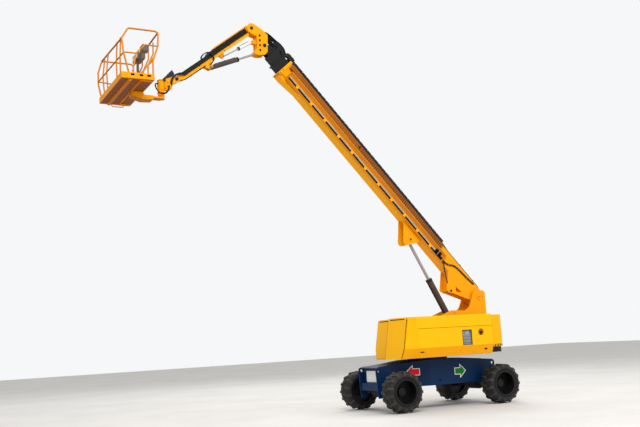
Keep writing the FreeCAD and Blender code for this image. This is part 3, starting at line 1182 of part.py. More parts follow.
# Platform floor: pan, toe boards, the curb that the rails stand on, bearers and the step loop below.
floor_whole = block("floor blank", ("floor_rear", "floor_front"), ("-floor_half", "floor_half"),
                    ("floor_low", "toe_high"))
inside_x = ("floor_rear + floor_sheet", "floor_front - floor_sheet")
inside_y = ("-floor_half + floor_sheet", "floor_half - floor_sheet")
floor_space = block("floor space", inside_x, inside_y, ("floor_top", "toe_high"))
curb = cut("Curb", block("curb blank", inside_x, inside_y, ("floor_top", "curb_top")),
           block("curb space", (inside_x[0] + " + curb_width", inside_x[1] + " - curb_width"),
                 (inside_y[0] + " + curb_width", inside_y[1] + " - curb_width"), ("floor_top", "curb_top")))
bearers = [block("outer bearer", ("rotator_x + 940", "rotator_x + 1000"),
                 ("-floor_half + 60", "floor_half - 60"), ("floor_low - 40", "floor_low")),
           block("inner bearer", ("rotator_x + 715", "rotator_x + 745"),
                 ("-floor_half + 60", "floor_half - 60"), ("floor_low - 25", "floor_low"))]
for side, low, high in (("near", "floor_half - 120", "floor_half - 60"),
                        ("far", "-floor_half + 60", "-floor_half + 120")):
    bearers.append(block(side + " bearer", ("rotator_x + 500", "rotator_x + 720"), (low, high),
                         ("floor_low - 25", "floor_low")))
step_z = size("floor_low")
step_y = 60 - size("floor_half")
step_start = size("floor_front") - 270
step_end = size("floor_rear") + 170
step_loop = solid("StepLoop", tube([(step_start, step_y, step_z + 2), (step_start, step_y, step_z - 62),
                                    (step_end, step_y, step_z - 62), (step_end, step_y, step_z + 2)],
                                   11, 40))
console_pad = block("console pad", ("floor_rear + floor_sheet", "floor_rear + 110"), ("-90", "20"),
                    ("floor_top", "curb_top"))
holes = []
for number, shift in enumerate(("570", "740", "930")):
    span_y = ("floor_half - 10", "floor_half + 2")
    middle = "rotator_x + " + shift
    for end_name, ahead in (("fore", " + 22"), ("aft", " - 22")):
        holes.append(bar("toe hole %s %d" % (end_name, number + 1), "Y", (middle + ahead, "floor_low + 82"),
                         span_y[0], span_y[1], "22"))
    holes.append(block("toe hole %d" % (number + 1), (middle + " - 22", middle + " + 22"), span_y,
                       ("floor_low + 60", "floor_low + 104")))
floor_all = fuse("FloorWhole", cut("FloorPan", floor_whole, floor_space), curb, console_pad, step_loop,
                 *bearers)
node("platform_floor", cut("PlatformFloor", floor_all, *holes))

# Guard rails: bent tubes. Each row of the table gives radius, bend and the line's corners, as
# (ahead of the front posts or the jib side posts, across as a share of half the length, height).
front_x = size("floor_front - floor_sheet - rail_radius - fit_gap")
rear_x = size("floor_rear + floor_sheet + rail_radius + fit_gap")
lean = size("rail_lean")
half = size("floor_half - floor_sheet - rail_radius - fit_gap")
foot_z = size("curb_top")
near_z = size("top_rail_near")
far_z = size("top_rail_far")
mid_z = size("mid_rail")
toe_z = size("toe_high")
r_rail = size("rail_radius")
r_post = size("post_radius")


def front(ahead, across, height):
    return (front_x + ahead, across * half, height)


def rear(ahead, across, height):
    return (rear_x + ahead, across * half, height)


RAILS = [
    (r_rail, 80, [front(-146, 1, foot_z), front(-146, 1, foot_z + 60), front(-36, 1, mid_z + 40),
                  front(0, 1, near_z - 240), front(-143, 1, near_z), rear(-lean - 6, 1, near_z - 4),
                  rear(-lean + 6, 1, mid_z + 270), rear(0, 1, mid_z - 90), rear(0, 1, foot_z)]),
    (r_rail, 80, [front(-30, -1, foot_z), front(-30, -1, foot_z + 60), front(45, -1, mid_z - 70),
                  front(45, -1, mid_z + 220),
                  front(-45, -1, far_z - 30), rear(-lean, -1, far_z - 30), rear(-lean + 6, -1, mid_z + 200),
                  rear(0, -1, mid_z - 90), rear(0, -1, foot_z)]),
    (r_rail, 80, [front(-8, 1, near_z - 234), front(-45, -1, far_z - 30)]),
    (r_post, 80, [front(-36, 1, mid_z + 40), front(45, -1, mid_z)]),
    (r_post, 80, [front(45, -1, mid_z), rear(0, -1, mid_z - 60)]),
    (r_rail, 80, [rear(-lean, 1, near_z - 30), rear(-lean, -1, far_z - 60)]),
    (r_post, 80, [rear(0, 1, mid_z - 60), rear(0, -1, mid_z - 60)]),
    (r_post, 60, [front(-36, 1, mid_z + 50), front(-307, 1, mid_z + 50), front(-500, 1, mid_z + 262),
                  rear(-lean + 20, 1, mid_z + 262)]),
    (r_post, 60, [rear(0, 1, mid_z - 20), rear(262, 1, toe_z - 20)]),
    (r_post, 60, [front(-216, 1, toe_z - 20), front(-307, 1, mid_z + 50)])]
for share in (0.82, 0.52, -0.3, -0.63):
    lean_in = 45 * (1 - share) / 2
    RAILS.append((r_post, 60, [front(-8, share, foot_z), front(-8, share, foot_z + 60),
                               front(lean_in - 12, share, mid_z),
                               front(-25, share, far_z - 100)]))
for share in (-0.62, -0.25, 0.25, 0.62):
    RAILS.append((r_post, 60, [rear(0, share, foot_z), rear(0, share, mid_z - 60),
                               rear(-lean, share, mid_z + 220), rear(-lean, share, far_z - 60)]))
tubes = [tube(corners, radius, bend) for radius, bend, corners in RAILS]
node("platform_rails", solid("PlatformRails", tubes[0].multiFuse(tubes[1:])))
node("platform_console", fuse(
    "PlatformConsole",
    block("console box", ("floor_rear - 60", "floor_rear + 120"), ("-280", "150"),
          ("top_rail_far - 270", "top_rail_far - 130")),
    block("console arm", ("floor_rear + 60", "floor_rear + 90"), ("150", "480"),
          ("top_rail_far - 230", "top_rail_far - 200")),
    block("tool box", ("floor_rear", "floor_rear + 140"), ("460", "660"),
          ("top_rail_far - 270", "top_rail_far - 150")),
    block("console stand", ("floor_rear + 44", "floor_rear + 94"), ("-60", "-10"),
          ("curb_top", "top_rail_far - 260"))))

doc.recompute()
problems = [item.Name + " " + ", ".join(item.State) for item in doc.Objects
            if "Invalid" in item.State or "Error" in item.State]
for item in nodes:
    shape = item.Shape
    if shape.isNull() or not shape.isValid() or not shape.Solids:
        problems.append(item.Label + " has no valid solid")
if problems:
    raise RuntimeError("; ".join(problems))
os.makedirs("parts", exist_ok=True)
for item in nodes:
    item.Shape.exportStep("parts/%s.step" % item.Label)
print(len(nodes), "sub-parts written")
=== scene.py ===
import bpy, bmesh, math
from mathutils import Matrix, Vector
from mathutils.bvhtree import BVHTree


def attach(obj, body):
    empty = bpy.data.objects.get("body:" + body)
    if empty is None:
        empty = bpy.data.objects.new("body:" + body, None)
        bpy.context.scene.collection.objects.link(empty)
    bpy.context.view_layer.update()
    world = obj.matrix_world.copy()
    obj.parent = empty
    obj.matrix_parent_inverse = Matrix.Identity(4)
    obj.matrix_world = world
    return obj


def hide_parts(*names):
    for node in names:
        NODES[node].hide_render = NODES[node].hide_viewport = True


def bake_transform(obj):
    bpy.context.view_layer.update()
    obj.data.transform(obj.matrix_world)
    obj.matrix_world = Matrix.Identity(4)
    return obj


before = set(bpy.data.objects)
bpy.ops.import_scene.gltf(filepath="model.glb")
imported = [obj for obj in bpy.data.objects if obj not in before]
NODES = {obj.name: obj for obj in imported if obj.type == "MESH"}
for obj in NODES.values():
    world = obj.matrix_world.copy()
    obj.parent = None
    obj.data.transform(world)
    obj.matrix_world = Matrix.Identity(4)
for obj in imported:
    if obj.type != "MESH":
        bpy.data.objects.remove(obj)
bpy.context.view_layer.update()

ENDS = ("front", "rear")
SIDES = (("left", 1), ("right", -1))


# Frames of the leaning parts: x along the beam, z square to it, y across.
def leaning(origin, degrees):
    a = math.radians(degrees)
    turn = Matrix(((math.cos(a), 0, -math.sin(a), 0), (0, 1, 0, 0),
                   (math.sin(a), 0, math.cos(a), 0), (0, 0, 0, 1)))
    return Matrix.Translation(origin) @ turn


BOOM_PIVOT, BOOM_LEAN = (-1.65, 0, 2.7), 47.6
JIB_PIVOT, JIB_LEAN = (4.49, 0, 9.39), -37.4
WORLD = Matrix.Identity(4)
BOOM = leaning(BOOM_PIVOT, BOOM_LEAN)
JIB = leaning(JIB_PIVOT, JIB_LEAN)


def circle(radius, count, start=0.0):
    """Points evenly round a circle."""
    angles = (start + math.tau * k / count for k in range(count))
    return [(radius * math.cos(a), radius * math.sin(a)) for a in angles]


def shifted(points, dx=0.0, dy=0.0, dz=0.0):
    """The same line of points, moved."""
    return [(x + dx, y + dy, z + dz) for x, y, z in points]


def oblong(half_u, half_v):
    return [(-half_u, -half_v), (half_u, -half_v), (half_u, half_v), (-half_u, half_v)]


def placed(name, data):
    """An object of the scene that shows the data."""
    item = bpy.data.objects.new(name, data)
    bpy.context.scene.collection.objects.link(item)
    return item


def placed_mesh(name, bm, material):
    data = bpy.data.meshes.new(name)
    bm.to_mesh(data)
    bm.free()
    data.materials.append(material)
    return placed(name, data)


# Colours are written as they look on a screen.
def colour(r, g, b):
    def linear(c):
        c /= 255
        return c / 12.92 if c <= 0.04045 else ((c + 0.055) / 1.055) ** 2.4
    return (linear(r), linear(g), linear(b), 1)


class Shader:
    """Builds one node material step by step."""

    def __init__(self, name):
        self.material = bpy.data.materials.new(name)
        self.material.use_nodes = True
        self.nodes = self.material.node_tree.nodes
        self.place = self.node("TexCoord").outputs["Object"]

    def put(self, item, inputs):
        """Give a node's inputs their values, or links to other nodes."""
        for key, value in inputs.items():
            if isinstance(value, bpy.types.NodeSocket):
                self.material.node_tree.links.new(value, item.inputs[key])
            else:
                item.inputs[key].default_value = value

    def node(self, kind, inputs={}, **settings):
        item = self.nodes.new("ShaderNode" + kind)
        for key, value in settings.items():
            setattr(item, key, value)
        self.put(item, inputs)
        return item

    def surface(self, inputs):
        self.put(self.nodes["Principled BSDF"], inputs)

    def noise(self, scale, detail=4, stretch=None):
        place = self.place
        if stretch:
            place = self.node("Mapping", {"Scale": stretch, "Vector": place}).outputs["Vector"]
        item = self.node("TexNoise", {"Scale": scale, "Detail": detail, "Roughness": 0.6, "Vector": place})
        return item.outputs["Fac"]

    def span(self, value, low, high, to_low=0.0, to_high=1.0):
        return self.node("MapRange", {"Value": value, "From Min": low, "From Max": high, "To Min": to_low,
                                      "To Max": to_high}).outputs["Result"]

    def math(self, kind, first, second):
        return self.node("Math", {0: first, 1: second}, operation=kind).outputs["Value"]

    def mix(self, amount, first, second):
        return self.node("Mix", {0: amount, 6: first, 7: second}, data_type="RGBA").outputs[2]

    def split(self, vector, axis):
        return self.node("SeparateXYZ", {"Vector": vector}).outputs[axis]

    def upward(self):
        return self.split(self.node("NewGeometry").outputs["Normal"], "Z")

    def bump(self, height, strength, distance=0.002):
        item = self.node("Bump", {"Strength": strength, "Distance": distance, "Height": height})
        self.surface({"Normal": item.outputs["Normal"]})


def shaded(tone, share):
    return tuple(c * share for c in tone[:3]) + (1,)


def finish(name, base, shade, rough, patch, grain, bump, metal=0.0, coat=0.0, dust=0.0,
           dust_tone=(150, 138, 120), streak=0.0, specular=0.1, painted_under_shading=None, painted_under_range=(-0.95, -0.3)):
    """A surface with patchy tone, grain, dust on its upper faces, streaks on its sides, and painted shade and
    light on its downward faces.
    """
    s = Shader(name)
    light = colour(*base)
    tone = s.mix(s.span(s.noise(patch, 6), 0.35, 0.65), shaded(light, shade), light)
    if streak:
        runs = s.span(s.noise(9.0, 5, (1, 1, 0.12)), 0.55, 0.72, 0.0, streak)
        tone = s.mix(runs, tone, shaded(light, 0.55))
    if dust:
        settled = s.math("MULTIPLY", s.span(s.upward(), 0.2, 0.95), s.span(s.noise(5.0, 8), 0.35, 0.7))
        settled = s.math("MAXIMUM", s.math("MULTIPLY", settled, dust),
                         s.span(s.noise(14.0, 8), 0.62, 0.8, 0.0, dust * 0.4))
        tone = s.mix(settled, tone, colour(*dust_tone))
    # Painted shading: downward faces take the under tone, as painted shade where it is darker and painted
    # light where it is brighter.
    if painted_under_shading:
        tone = s.mix(s.span(s.upward(), *painted_under_range, 1.0, 0.0), tone, colour(*painted_under_shading))
    s.surface({"Base Color": tone, "Metallic": metal, "Coat Weight": coat, "Coat Roughness": 0.12,
               "Roughness": s.span(s.noise(patch * 4, 5), 0.3, 0.7, max(rough - 0.1, 0.02), rough + 0.12),
               "Specular IOR Level": specular})
    s.bump(s.noise(grain, 3), bump)
    return s.material


# Tone, light left in dark patches, roughness, scale of the patches and of the grain, height of the grain.
# The under tone and its fall range paint shading on downward faces: painted shade on the hood, platform and
# rails, painted light on the boom and tray.
M = {
    "hood": finish("hood_yellow", (255, 186, 0), 0.95, 0.42, 0.9, 25, 0.03, coat=0.04, dust=0.06,
            dust_tone=(176, 150, 90), streak=0.06, painted_under_shading=(240, 158, 0), painted_under_range=(-0.4, -0.08)),
    # Hood yellow darkened: painted shade for the hood's groove.
    "hoodline": finish("hood_groove_painted_shade", (136, 84, 6), 0.8, 0.6, 4, 60, 0.04),
    "recess": finish("latch_recess_painted_shade", (178, 104, 0), 0.85, 0.45, 6, 60, 0.03),
    "boom": finish("boom_orange", (247, 162, 0), 0.93, 0.5, 1.1, 30, 0.04, dust=0.05,
            dust_tone=(150, 110, 60), streak=0.08, painted_under_shading=(255, 178, 0), painted_under_range=(-0.9, -0.2)),
    "tray": finish("tray_orange_brown", (190, 108, 4), 0.85, 0.5, 2, 50, 0.05, dust=0.08,
            dust_tone=(120, 84, 44), streak=0.1, painted_under_shading=(255, 174, 0), painted_under_range=(-0.9, -0.2)),
    "post": finish("tray_post_orange", (255, 168, 24), 0.93, 0.4, 4, 60, 0.04),
    "weight": finish("weight_yellow", (253, 181, 0), 0.9, 0.5, 1.2, 45, 0.12, dust=0.1,
            dust_tone=(160, 130, 80), streak=0.12),
    "brown": finish("platform_orange", (250, 160, 0), 0.88, 0.5, 2, 70, 0.05, dust=0.05,
            painted_under_shading=(176, 100, 14)),
    # The rails wear the platform's orange paint; this deeper tone is painted shade.
    "rail": finish("rail_orange_painted_shade", (222, 138, 0), 0.85, 0.5, 2, 70, 0.04, dust=0.05,
            painted_under_shading=(120, 62, 16)),
    "navy": finish("chassis_navy", (0, 40, 80), 0.85, 0.42, 1.2, 35, 0.05, coat=0.03, dust=0.12,
            dust_tone=(52, 66, 76), streak=0.1, specular=0.15),
    "black": finish("black_paint", (20, 19, 20), 0.7, 0.45, 4, 60, 0.08, dust=0.12, dust_tone=(74, 68, 62),
            specular=0.25),
    "cast": finish("black_casting", (24, 22, 21), 0.7, 0.62, 3, 90, 0.3, dust=0.25, dust_tone=(86, 76, 64),
            specular=0.25),
    "steel": finish("plain_steel", (120, 120, 122), 0.8, 0.38, 5, 80, 0.05, metal=0.8),
    "rod": finish("plated_rod", (166, 158, 160), 0.9, 0.36, 3, 120, 0.02, metal=0.55),
    "barrel": finish("cylinder_brown", (84, 70, 66), 0.75, 0.45, 3, 50, 0.06, dust=0.12,
            dust_tone=(84, 74, 62)),
    "white": finish("white_paint", (226, 228, 226), 0.93, 0.45, 3, 50, 0.04, streak=0.1),
    "plastic": finish("dark_plastic", (30, 30, 33), 0.8, 0.5, 4, 140, 0.12, dust=0.1, dust_tone=(80, 76, 70),
            specular=0.3),
    "grey": finish("grey_box", (112, 104, 96), 0.85, 0.5, 4, 90, 0.06),
    "panel": finish("control_panel_grey", (196, 196, 190), 0.9, 0.5, 6, 120, 0.04),
    "hose": finish("hose_black", (18, 18, 19), 0.75, 0.42, 6, 160, 0.08, dust=0.06, dust_tone=(70, 66, 60),
            specular=0.3),
    "link": finish("link_grey", (170, 168, 152), 0.75, 0.55, 9, 120, 0.1),
    # Near black: painted shade in the tray's slots, the grips, seam gaps, slits, openings and behind the toe
    # board's holes; also the own colour of the hoses at the tray's outlet.
    "dark": finish("dark_recess", (12, 11, 10), 0.7, 0.8, 5, 50, 0.1),
    "red": finish("marker_red", (232, 12, 44), 0.95, 0.4, 5, 60, 0.02, specular=0.2),
    "green": finish("marker_green", (6, 116, 36), 0.93, 0.4, 5, 60, 0.02, specular=0.2),
    "mark": finish("marker_white", (232, 232, 228), 0.94, 0.4, 5, 60, 0.02),
    "knob_red": finish("knob_red", (196, 26, 24), 0.9, 0.35, 12, 200, 0.02),
    "lamp": finish("lamp_clear", (206, 206, 200), 0.9, 0.15, 12, 200, 0.02),
    "iron": finish("dark_steel", (48, 46, 45), 0.75, 0.4, 8, 120, 0.06, metal=0.4, dust=0.1),
    "cover": finish("carrier_cover_brown", (150, 84, 18), 0.82, 0.5, 2, 60, 0.05, dust=0.06),
    "brownline": finish("carrier_line_bright", (226, 150, 60), 0.85, 0.5, 6, 90, 0.05),
}


def rubber(name, low, high, dirt):
    s = Shader(name)
    tone = s.mix(s.span(s.noise(7, 6), 0.35, 0.7), colour(*low), colour(*high))
    mud = s.span(s.noise(16, 9), 0.54, 0.78, 0.0, dirt)
    s.surface({"Base Color": s.mix(mud, tone, colour(112, 98, 84)),
               "Roughness": s.span(s.noise(30, 4), 0.3, 0.7, 0.62, 0.9)})
    s.bump(s.noise(120, 5), 0.35, 0.003)
    return s.material


def banded(name, light, dark, pitch, share, lean):
    """Fine ribs across a long beam, laid along the beam's own direction, with painted shade in the grooves
    between them.
    """
    s = Shader(name)
    turned = s.node("Mapping", {"Rotation": (0, math.radians(lean), 0), "Vector": s.place}).outputs["Vector"]
    step = s.math("FRACT", s.math("MULTIPLY", s.split(turned, "X"), 1 / pitch), 0.0)
    groove = s.span(s.math("ABSOLUTE", s.math("SUBTRACT", step, 0.5), 0.0), share, share + 0.08)
    light = colour(*light)
    tone = s.mix(s.span(s.noise(3, 6), 0.35, 0.65), shaded(light, 0.8), light)
    s.surface({"Base Color": s.mix(groove, tone, colour(*dark)), "Specular IOR Level": 0.15,
               "Roughness": s.span(s.noise(12, 5), 0.3, 0.7, 0.42, 0.62)})
    s.bump(groove, 0.6, 0.004)
    return s.material


def glass():
    s = Shader("window_glass")
    patches = s.span(s.noise(4, 4), 0.3, 0.7)
    s.surface({"Base Color": s.mix(patches, colour(60, 78, 92), colour(104, 120, 128)),
               "Roughness": s.span(s.noise(12, 3), 0.3, 0.7, 0.03, 0.12), "Alpha": 0.22, "Coat Weight": 0.6})
    return s.material


M["tyre"] = rubber("tyre_lug_rubber", (32, 29, 27), (58, 53, 49), 0.4)
# The carcass rubber is the lug rubber darkened: painted shade between and round the lugs.
M["carcass"] = rubber("tyre_side_rubber", (12, 11, 11), (24, 22, 21), 0.15)
M["ribs"] = banded("carrier_ribs_brown", (150, 84, 22), (78, 38, 8), 0.06, 0.36, BOOM_LEAN)
M["chain"] = banded("carrier_links_black", (34, 32, 31), (8, 8, 8), 0.09, 0.42, BOOM_LEAN)
M["glass"] = glass()
M["deckmesh"] = banded("deck_mesh_painted_shade", (136, 68, 0), (98, 46, 0), 0.03, 0.34, 0.0)

PAINT = {
    "hood": "hood_left hood_right cover_front_left cover_front_right",
    "tray": "cable_tray",
    "boom": "boom_outer jib_arm head_bracket turret_frame platform_mount",
    "weight": "counterweight",
    "brown": "platform_floor platform_support",
    "rail": "platform_rails",
    "navy": "chassis_frame",
    "black": "boom_inner boom_mid slot_sheets track_rod",
    "cast": "counterweight_base front_axle rear_axle knuckle_left knuckle_right slew_ring",
    "barrel": "lift_barrel jib_ram_barrel steering_barrel",
    "rod": "lift_rod jib_ram_rod level_rod steering_rod",
    "white": "level_barrel",
    "plastic": "engine_block tank_block ground_controls",
    "grey": "platform_console",
    "chain": "top_carrier",
    "ribs": "ribbed_carrier",
    "link": "tray_chain",
    "hose": "boom_hoses jib_hoses",
}


def dress(node, material):
    slots = NODES[node].data.materials
    if not len(slots):
        slots.append(None)
    for k in range(len(slots)):
        slots[k] = M[material]


for key, names in PAINT.items():
    for node_name in names.split():
        dress(node_name, key)
for end in ENDS:
    for side, _ in SIDES:
        dress("rim_%s_%s" % (end, side), "black")
        dress("tyre_%s_%s" % (end, side), "tyre")


def outward(bm):
    bmesh.ops.recalc_face_normals(bm, faces=bm.faces)


def skin(bm, rows, around=True):
    """Faces between neighbouring rows of points, each row closed or open."""
    for a, b in zip(rows, rows[1:]):
        n = len(a)
        for j in range(n if around else n - 1):
            m = (j + 1) % n
            bm.faces.new((a[j], b[j], b[m], a[m]))


def rounded(bm, edges, bevel, profile):
    if bevel:
        bmesh.ops.bevel(bm, geom=edges, offset=bevel, segments=2, affect="EDGES", profile=profile)


# Every piece is one mesh in metres, built in a leaning frame where that is simpler.
class Piece:
    def __init__(self, name, body, material, place=WORLD):
        self.name, self.body, self.material, self.place = name, body, material, place
        self.bm = bmesh.new()

    def add(self, mesh_maker, matrix=WORLD):
        part = bmesh.new()
        mesh_maker(part)
        part.transform(matrix)
        data = bpy.data.meshes.new("part")
        part.to_mesh(data)
        part.free()
        self.bm.from_mesh(data)
        bpy.data.meshes.remove(data)

    def box(self, low, high, bevel=0.0):
        def make(bm):
            bmesh.ops.create_cube(bm, size=1)
            bmesh.ops.scale(bm, vec=[b - a for a, b in zip(low, high)], verts=bm.verts)
            bmesh.ops.translate(bm, vec=[(a + b) / 2 for a, b in zip(low, high)], verts=bm.verts)
            rounded(bm, bm.edges[:], bevel, 0.7)
        self.add(make)

    def rod(self, start, end, radius, sides=20, bevel=0.0, taper=None):
        start, end = Vector(start), Vector(end)
        length = (end - start).length
        turn = Vector((0, 0, 1)).rotation_difference(end - start).to_matrix().to_4x4()

        def make(bm):
            bmesh.ops.create_cone(bm, cap_ends=True, segments=sides, radius1=radius,
                                  radius2=radius if taper is None else taper, depth=length)
            rims = [e for e in bm.edges if abs(e.verts[0].co.z - e.verts[1].co.z) < 1e-6]
            rounded(bm, rims, bevel, 0.6)
        self.add(make, Matrix.Translation((start + end) / 2) @ turn)

    def bolt(self, at, way, radius=0.012, height=0.009):
        """Hexagon head on its washer."""
        at, way = Vector(at), Vector(way).normalized()
        self.rod(at, at + way * height * 0.25, radius * 1.35, 18)
        self.rod(at, at + way * height, radius, 6, 0.0012)

    def pin_cap(self, x, z, y, radius, ring, start, bolt=0.006):
        """Round cap over a pin's end at y, held by three bolts."""
        side = math.copysign(1, y)
        outer = y + side * 0.006
        self.rod((x, y, z), (x, outer, z), radius, 28, 0.002)
        for u, v in circle(ring, 3, start):
            self.bolt((x + u, outer, z + v), (0, side, 0), bolt, bolt)

    def ring(self, centre, way, radius, thick, sides=28, around=8):
        turn = Vector((0, 0, 1)).rotation_difference(Vector(way)).to_matrix().to_4x4()

        def make(bm):
            rows = [[bm.verts.new((u * (radius + r), v * (radius + r), z)) for r, z in circle(thick, around)]
                    for u, v in circle(1, sides)]
            skin(bm, rows + rows[:1])
        self.add(make, Matrix.Translation(centre) @ turn)

    def plate(self, corners, low, high, bevel=0.0):
        """Flat plate from its outline in x and z, between two places across the machine."""
        def make(bm):
            lower = [bm.verts.new((u, low, v)) for u, v in corners]
            upper = [bm.verts.new((u, high, v)) for u, v in corners]
            bm.faces.new(lower)
            bm.faces.new(upper[::-1])
            skin(bm, [lower, upper])
            outward(bm)
            rounded(bm, bm.edges[:], bevel, 0.7)
        self.add(make)

    def tube(self, points, radius, sides=10, smooth=4):
        """Round tube on a smooth line through its points."""
        line = smoothed([Vector(p) for p in points], smooth)

        def make(bm):
            rows = []
            side = None
            for k, p in enumerate(line):
                along = (line[min(k + 1, len(line) - 1)] - line[max(k - 1, 0)]).normalized()
                if side is None:
                    side = along.orthogonal().normalized()
                side = (side - along * side.dot(along)).normalized()
                up = along.cross(side)
                rows.append([bm.verts.new(p + u * side + v * up) for u, v in circle(radius, sides)])
            skin(bm, rows)
            bm.faces.new(rows[0][::-1])
            bm.faces.new(rows[-1])
        self.add(make)

    def shown(self, smooth):
        self.bm.transform(self.place)
        outward(self.bm)
        item = placed_mesh(self.name, self.bm, M[self.material])
        for face in item.data.polygons:
            face.use_smooth = smooth
        return item

    def done(self, smooth=True, slot=None):
        item = self.shown(smooth)
        if smooth:
            sharpen(item.data, 32)
        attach(item, self.body)
        return item

    def bend(self, other, start, end):
        """Hoses baked where they lie, held by neither body; they do not bend as the joint between the two
        bodies turns.
        """
        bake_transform(self.shown(True))


def sharpen(data, degrees):
    bm = bmesh.new()
    bm.from_mesh(data)
    limit = math.radians(degrees)
    for edge in bm.edges:
        if len(edge.link_faces) == 2:
            edge.smooth = edge.calc_face_angle(0) < limit
    bm.to_mesh(data)
    bm.free()


def smoothed(points, steps):
    """Points of a smooth line through the given ones."""
    out = []
    ends = [points[0] * 2 - points[1]] + points + [points[-1] * 2 - points[-2]]
    for a, b, c, d in zip(ends, ends[1:], ends[2:], ends[3:]):
        for k in range(steps):
            t = k / steps
            out.append(0.5 * ((2 * b) + (c - a) * t + (2 * a - 5 * b + 4 * c - d) * t * t
                              + (3 * b - a - 3 * c + d) * t * t * t))
    return out + [points[-1]]


TREES = {}


def touch(node, start, way):
    """Where a line from start meets a node."""
    if node not in TREES:
        bm = bmesh.new()
        bm.from_mesh(NODES[node].data)
        TREES[node] = BVHTree.FromBMesh(bm)
        bm.free()
    return TREES[node].ray_cast(Vector(start), Vector(way).normalized())[0]


def sticker(name, node, body, material, corners, start, across, way, lift=0.0012, cuts=3):
    """Thin film pressed on a node: corners lie across and up from start, seen along way."""
    start, across, up, way = Vector(start), Vector(across), Vector((0, 0, 1)), Vector(way)
    bm = bmesh.new()
    face = bm.faces.new([bm.verts.new(start + across * u + up * v) for u, v in corners])
    bmesh.ops.triangulate(bm, faces=[face])
    bmesh.ops.subdivide_edges(bm, edges=bm.edges[:], cuts=cuts, use_grid_fill=True)
    for v in bm.verts:
        hit = touch(node, v.co, way)
        if hit is not None:
            v.co = hit - way * lift
    extra = bmesh.ops.extrude_face_region(bm, geom=bm.faces[:])
    for v in (g for g in extra["geom"] if isinstance(g, bmesh.types.BMVert)):
        v.co += way * (lift * 0.9)
    outward(bm)
    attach(placed_mesh(name, bm, M[material]), body)


def side_film(name, node, body, material, corners, x, z, sign, lift=0.0012, cuts=3):
    """Film on a node's left or right side, round a point of that side."""
    sticker(name, node, body, material, corners, (x, sign * 1.5, z), (1, 0, 0), (0, -sign, 0), lift, cuts)


# Wheels: chunky lugs on a smooth carcass, then the flange ring, wheel nuts and hub bolts.
AXLE_X, WHEEL_Y, WHEEL_Z = 1.456, 1.015, 0.4825
LUG_COUNT = 15
LUG_PHASE = math.atan2(0.0485, 0.48) - math.pi / 2
# Along the axle, middle of the lug round the tread, half width, height of its top and of its foot.
LUG_STATIONS = [(0.012, -0.022, 0.023, 0.479, 0.44), (0.06, -0.012, 0.025, 0.4798, 0.44),
                (0.11, 0.004, 0.027, 0.4799, 0.44), (0.15, 0.015, 0.029, 0.4796, 0.436),
                (0.178, 0.0195, 0.03, 0.473, 0.42), (0.198, 0.0205, 0.0295, 0.453, 0.4),
                (0.21, 0.0205, 0.028, 0.423, 0.38), (0.2135, 0.0205, 0.024, 0.4, 0.37)]
# Half of the carcass in section, from one bead to the middle of the tread: along the axle and radius.
TYRE_SECTION = [(-0.15, 0.323), (-0.176, 0.33), (-0.196, 0.334), (-0.203, 0.342), (-0.206, 0.356),
                (-0.209, 0.376), (-0.2095, 0.392), (-0.207, 0.41), (-0.196, 0.43), (-0.176, 0.446),
                (-0.14, 0.453), (0, 0.455)]


def tyre_carcass(bm):
    section = TYRE_SECTION + [(-y, r) for y, r in TYRE_SECTION[-2::-1]]
    rows = [[bm.verts.new((r * u, y, r * v)) for y, r in section] for u, v in circle(1, 80)]
    skin(bm, rows + rows[:1], False)


def tyre_lug(bm, half, turn):
    rows = []
    for along, middle, width, top, foot in LUG_STATIONS:
        row = []
        for across, height in ((middle - width * 1.15, foot), (middle - width, top),
                               (middle + width, top), (middle + width * 1.15, foot)):
            row.append(bm.verts.new((height * math.cos(turn) - across * math.sin(turn), half * along,
                                     height * math.sin(turn) + across * math.cos(turn))))
        rows.append(row)
    skin(bm, rows)
    bm.faces.new(rows[0])
    bm.faces.new(rows[-1])


def tyre_lugs(bm):
    for half, stagger in ((1, 0), (-1, 0.5)):
        for k in range(LUG_COUNT):
            tyre_lug(bm, half, LUG_PHASE + math.tau * (k + stagger) / LUG_COUNT)
    outward(bm)
    bmesh.ops.bevel(bm, geom=bm.edges[:], offset=0.003, segments=1, affect="EDGES")


def wheel(end, side, sign):
    place = Matrix.Translation((AXLE_X if end == "front" else -AXLE_X, sign * WHEEL_Y, WHEEL_Z))
    if sign < 0:
        place = place @ Matrix.Rotation(math.pi, 4, "Z")
    corner = "%s_%s" % (end, side)
    body = "wheel_" + corner

    def rim_face(x, z):
        """How far the rim's outer face stands from the wheel's middle plane."""
        return abs(touch("rim_" + corner, place @ Vector((x, 0.4, z)), (0, -sign, 0)).y) - WHEEL_Y

    # The carcass's darker rubber paints the shade between the lugs.
    carcass = Piece("carcass_" + corner, body, "carcass", place)
    carcass.add(tyre_carcass)
    for radius, y in ((0.35, 0.2055), (0.366, 0.2085)):
        for face in (y, -y):
            carcass.ring((0, face, 0), (0, 1, 0), radius, 0.0022, 64, 6)
    item = carcass.done(slot="tyre_rubber")
    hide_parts("tyre_" + corner)
    tread = Piece("tread_" + corner, body, "tyre", place)
    tread.add(tyre_lugs)
    tread.done(slot="tyre_rubber")
    depth = rim_face(0.145, 0)
    bolts = Piece("wheel_bolts_" + corner, body, "iron", place)
    for x, z in circle(0.155, 9):
        bolts.bolt((x, depth, z), (0, 1, 0), 0.015, 0.02)
        bolts.rod((x, depth, z), (x, depth + 0.03, z), 0.008, 10)
    for x, z in circle(0.08, 8, math.pi / 8):
        bolts.bolt((x, rim_face(x, z) - 0.001, z), (0, 1, 0), 0.008, 0.009)
    bolts.ring((0, depth + 0.001, 0), (0, 1, 0), 0.19, 0.004, 48, 6)
    bolts.done()


for end in ENDS:
    for side, sign in SIDES:
        wheel(end, side, sign)


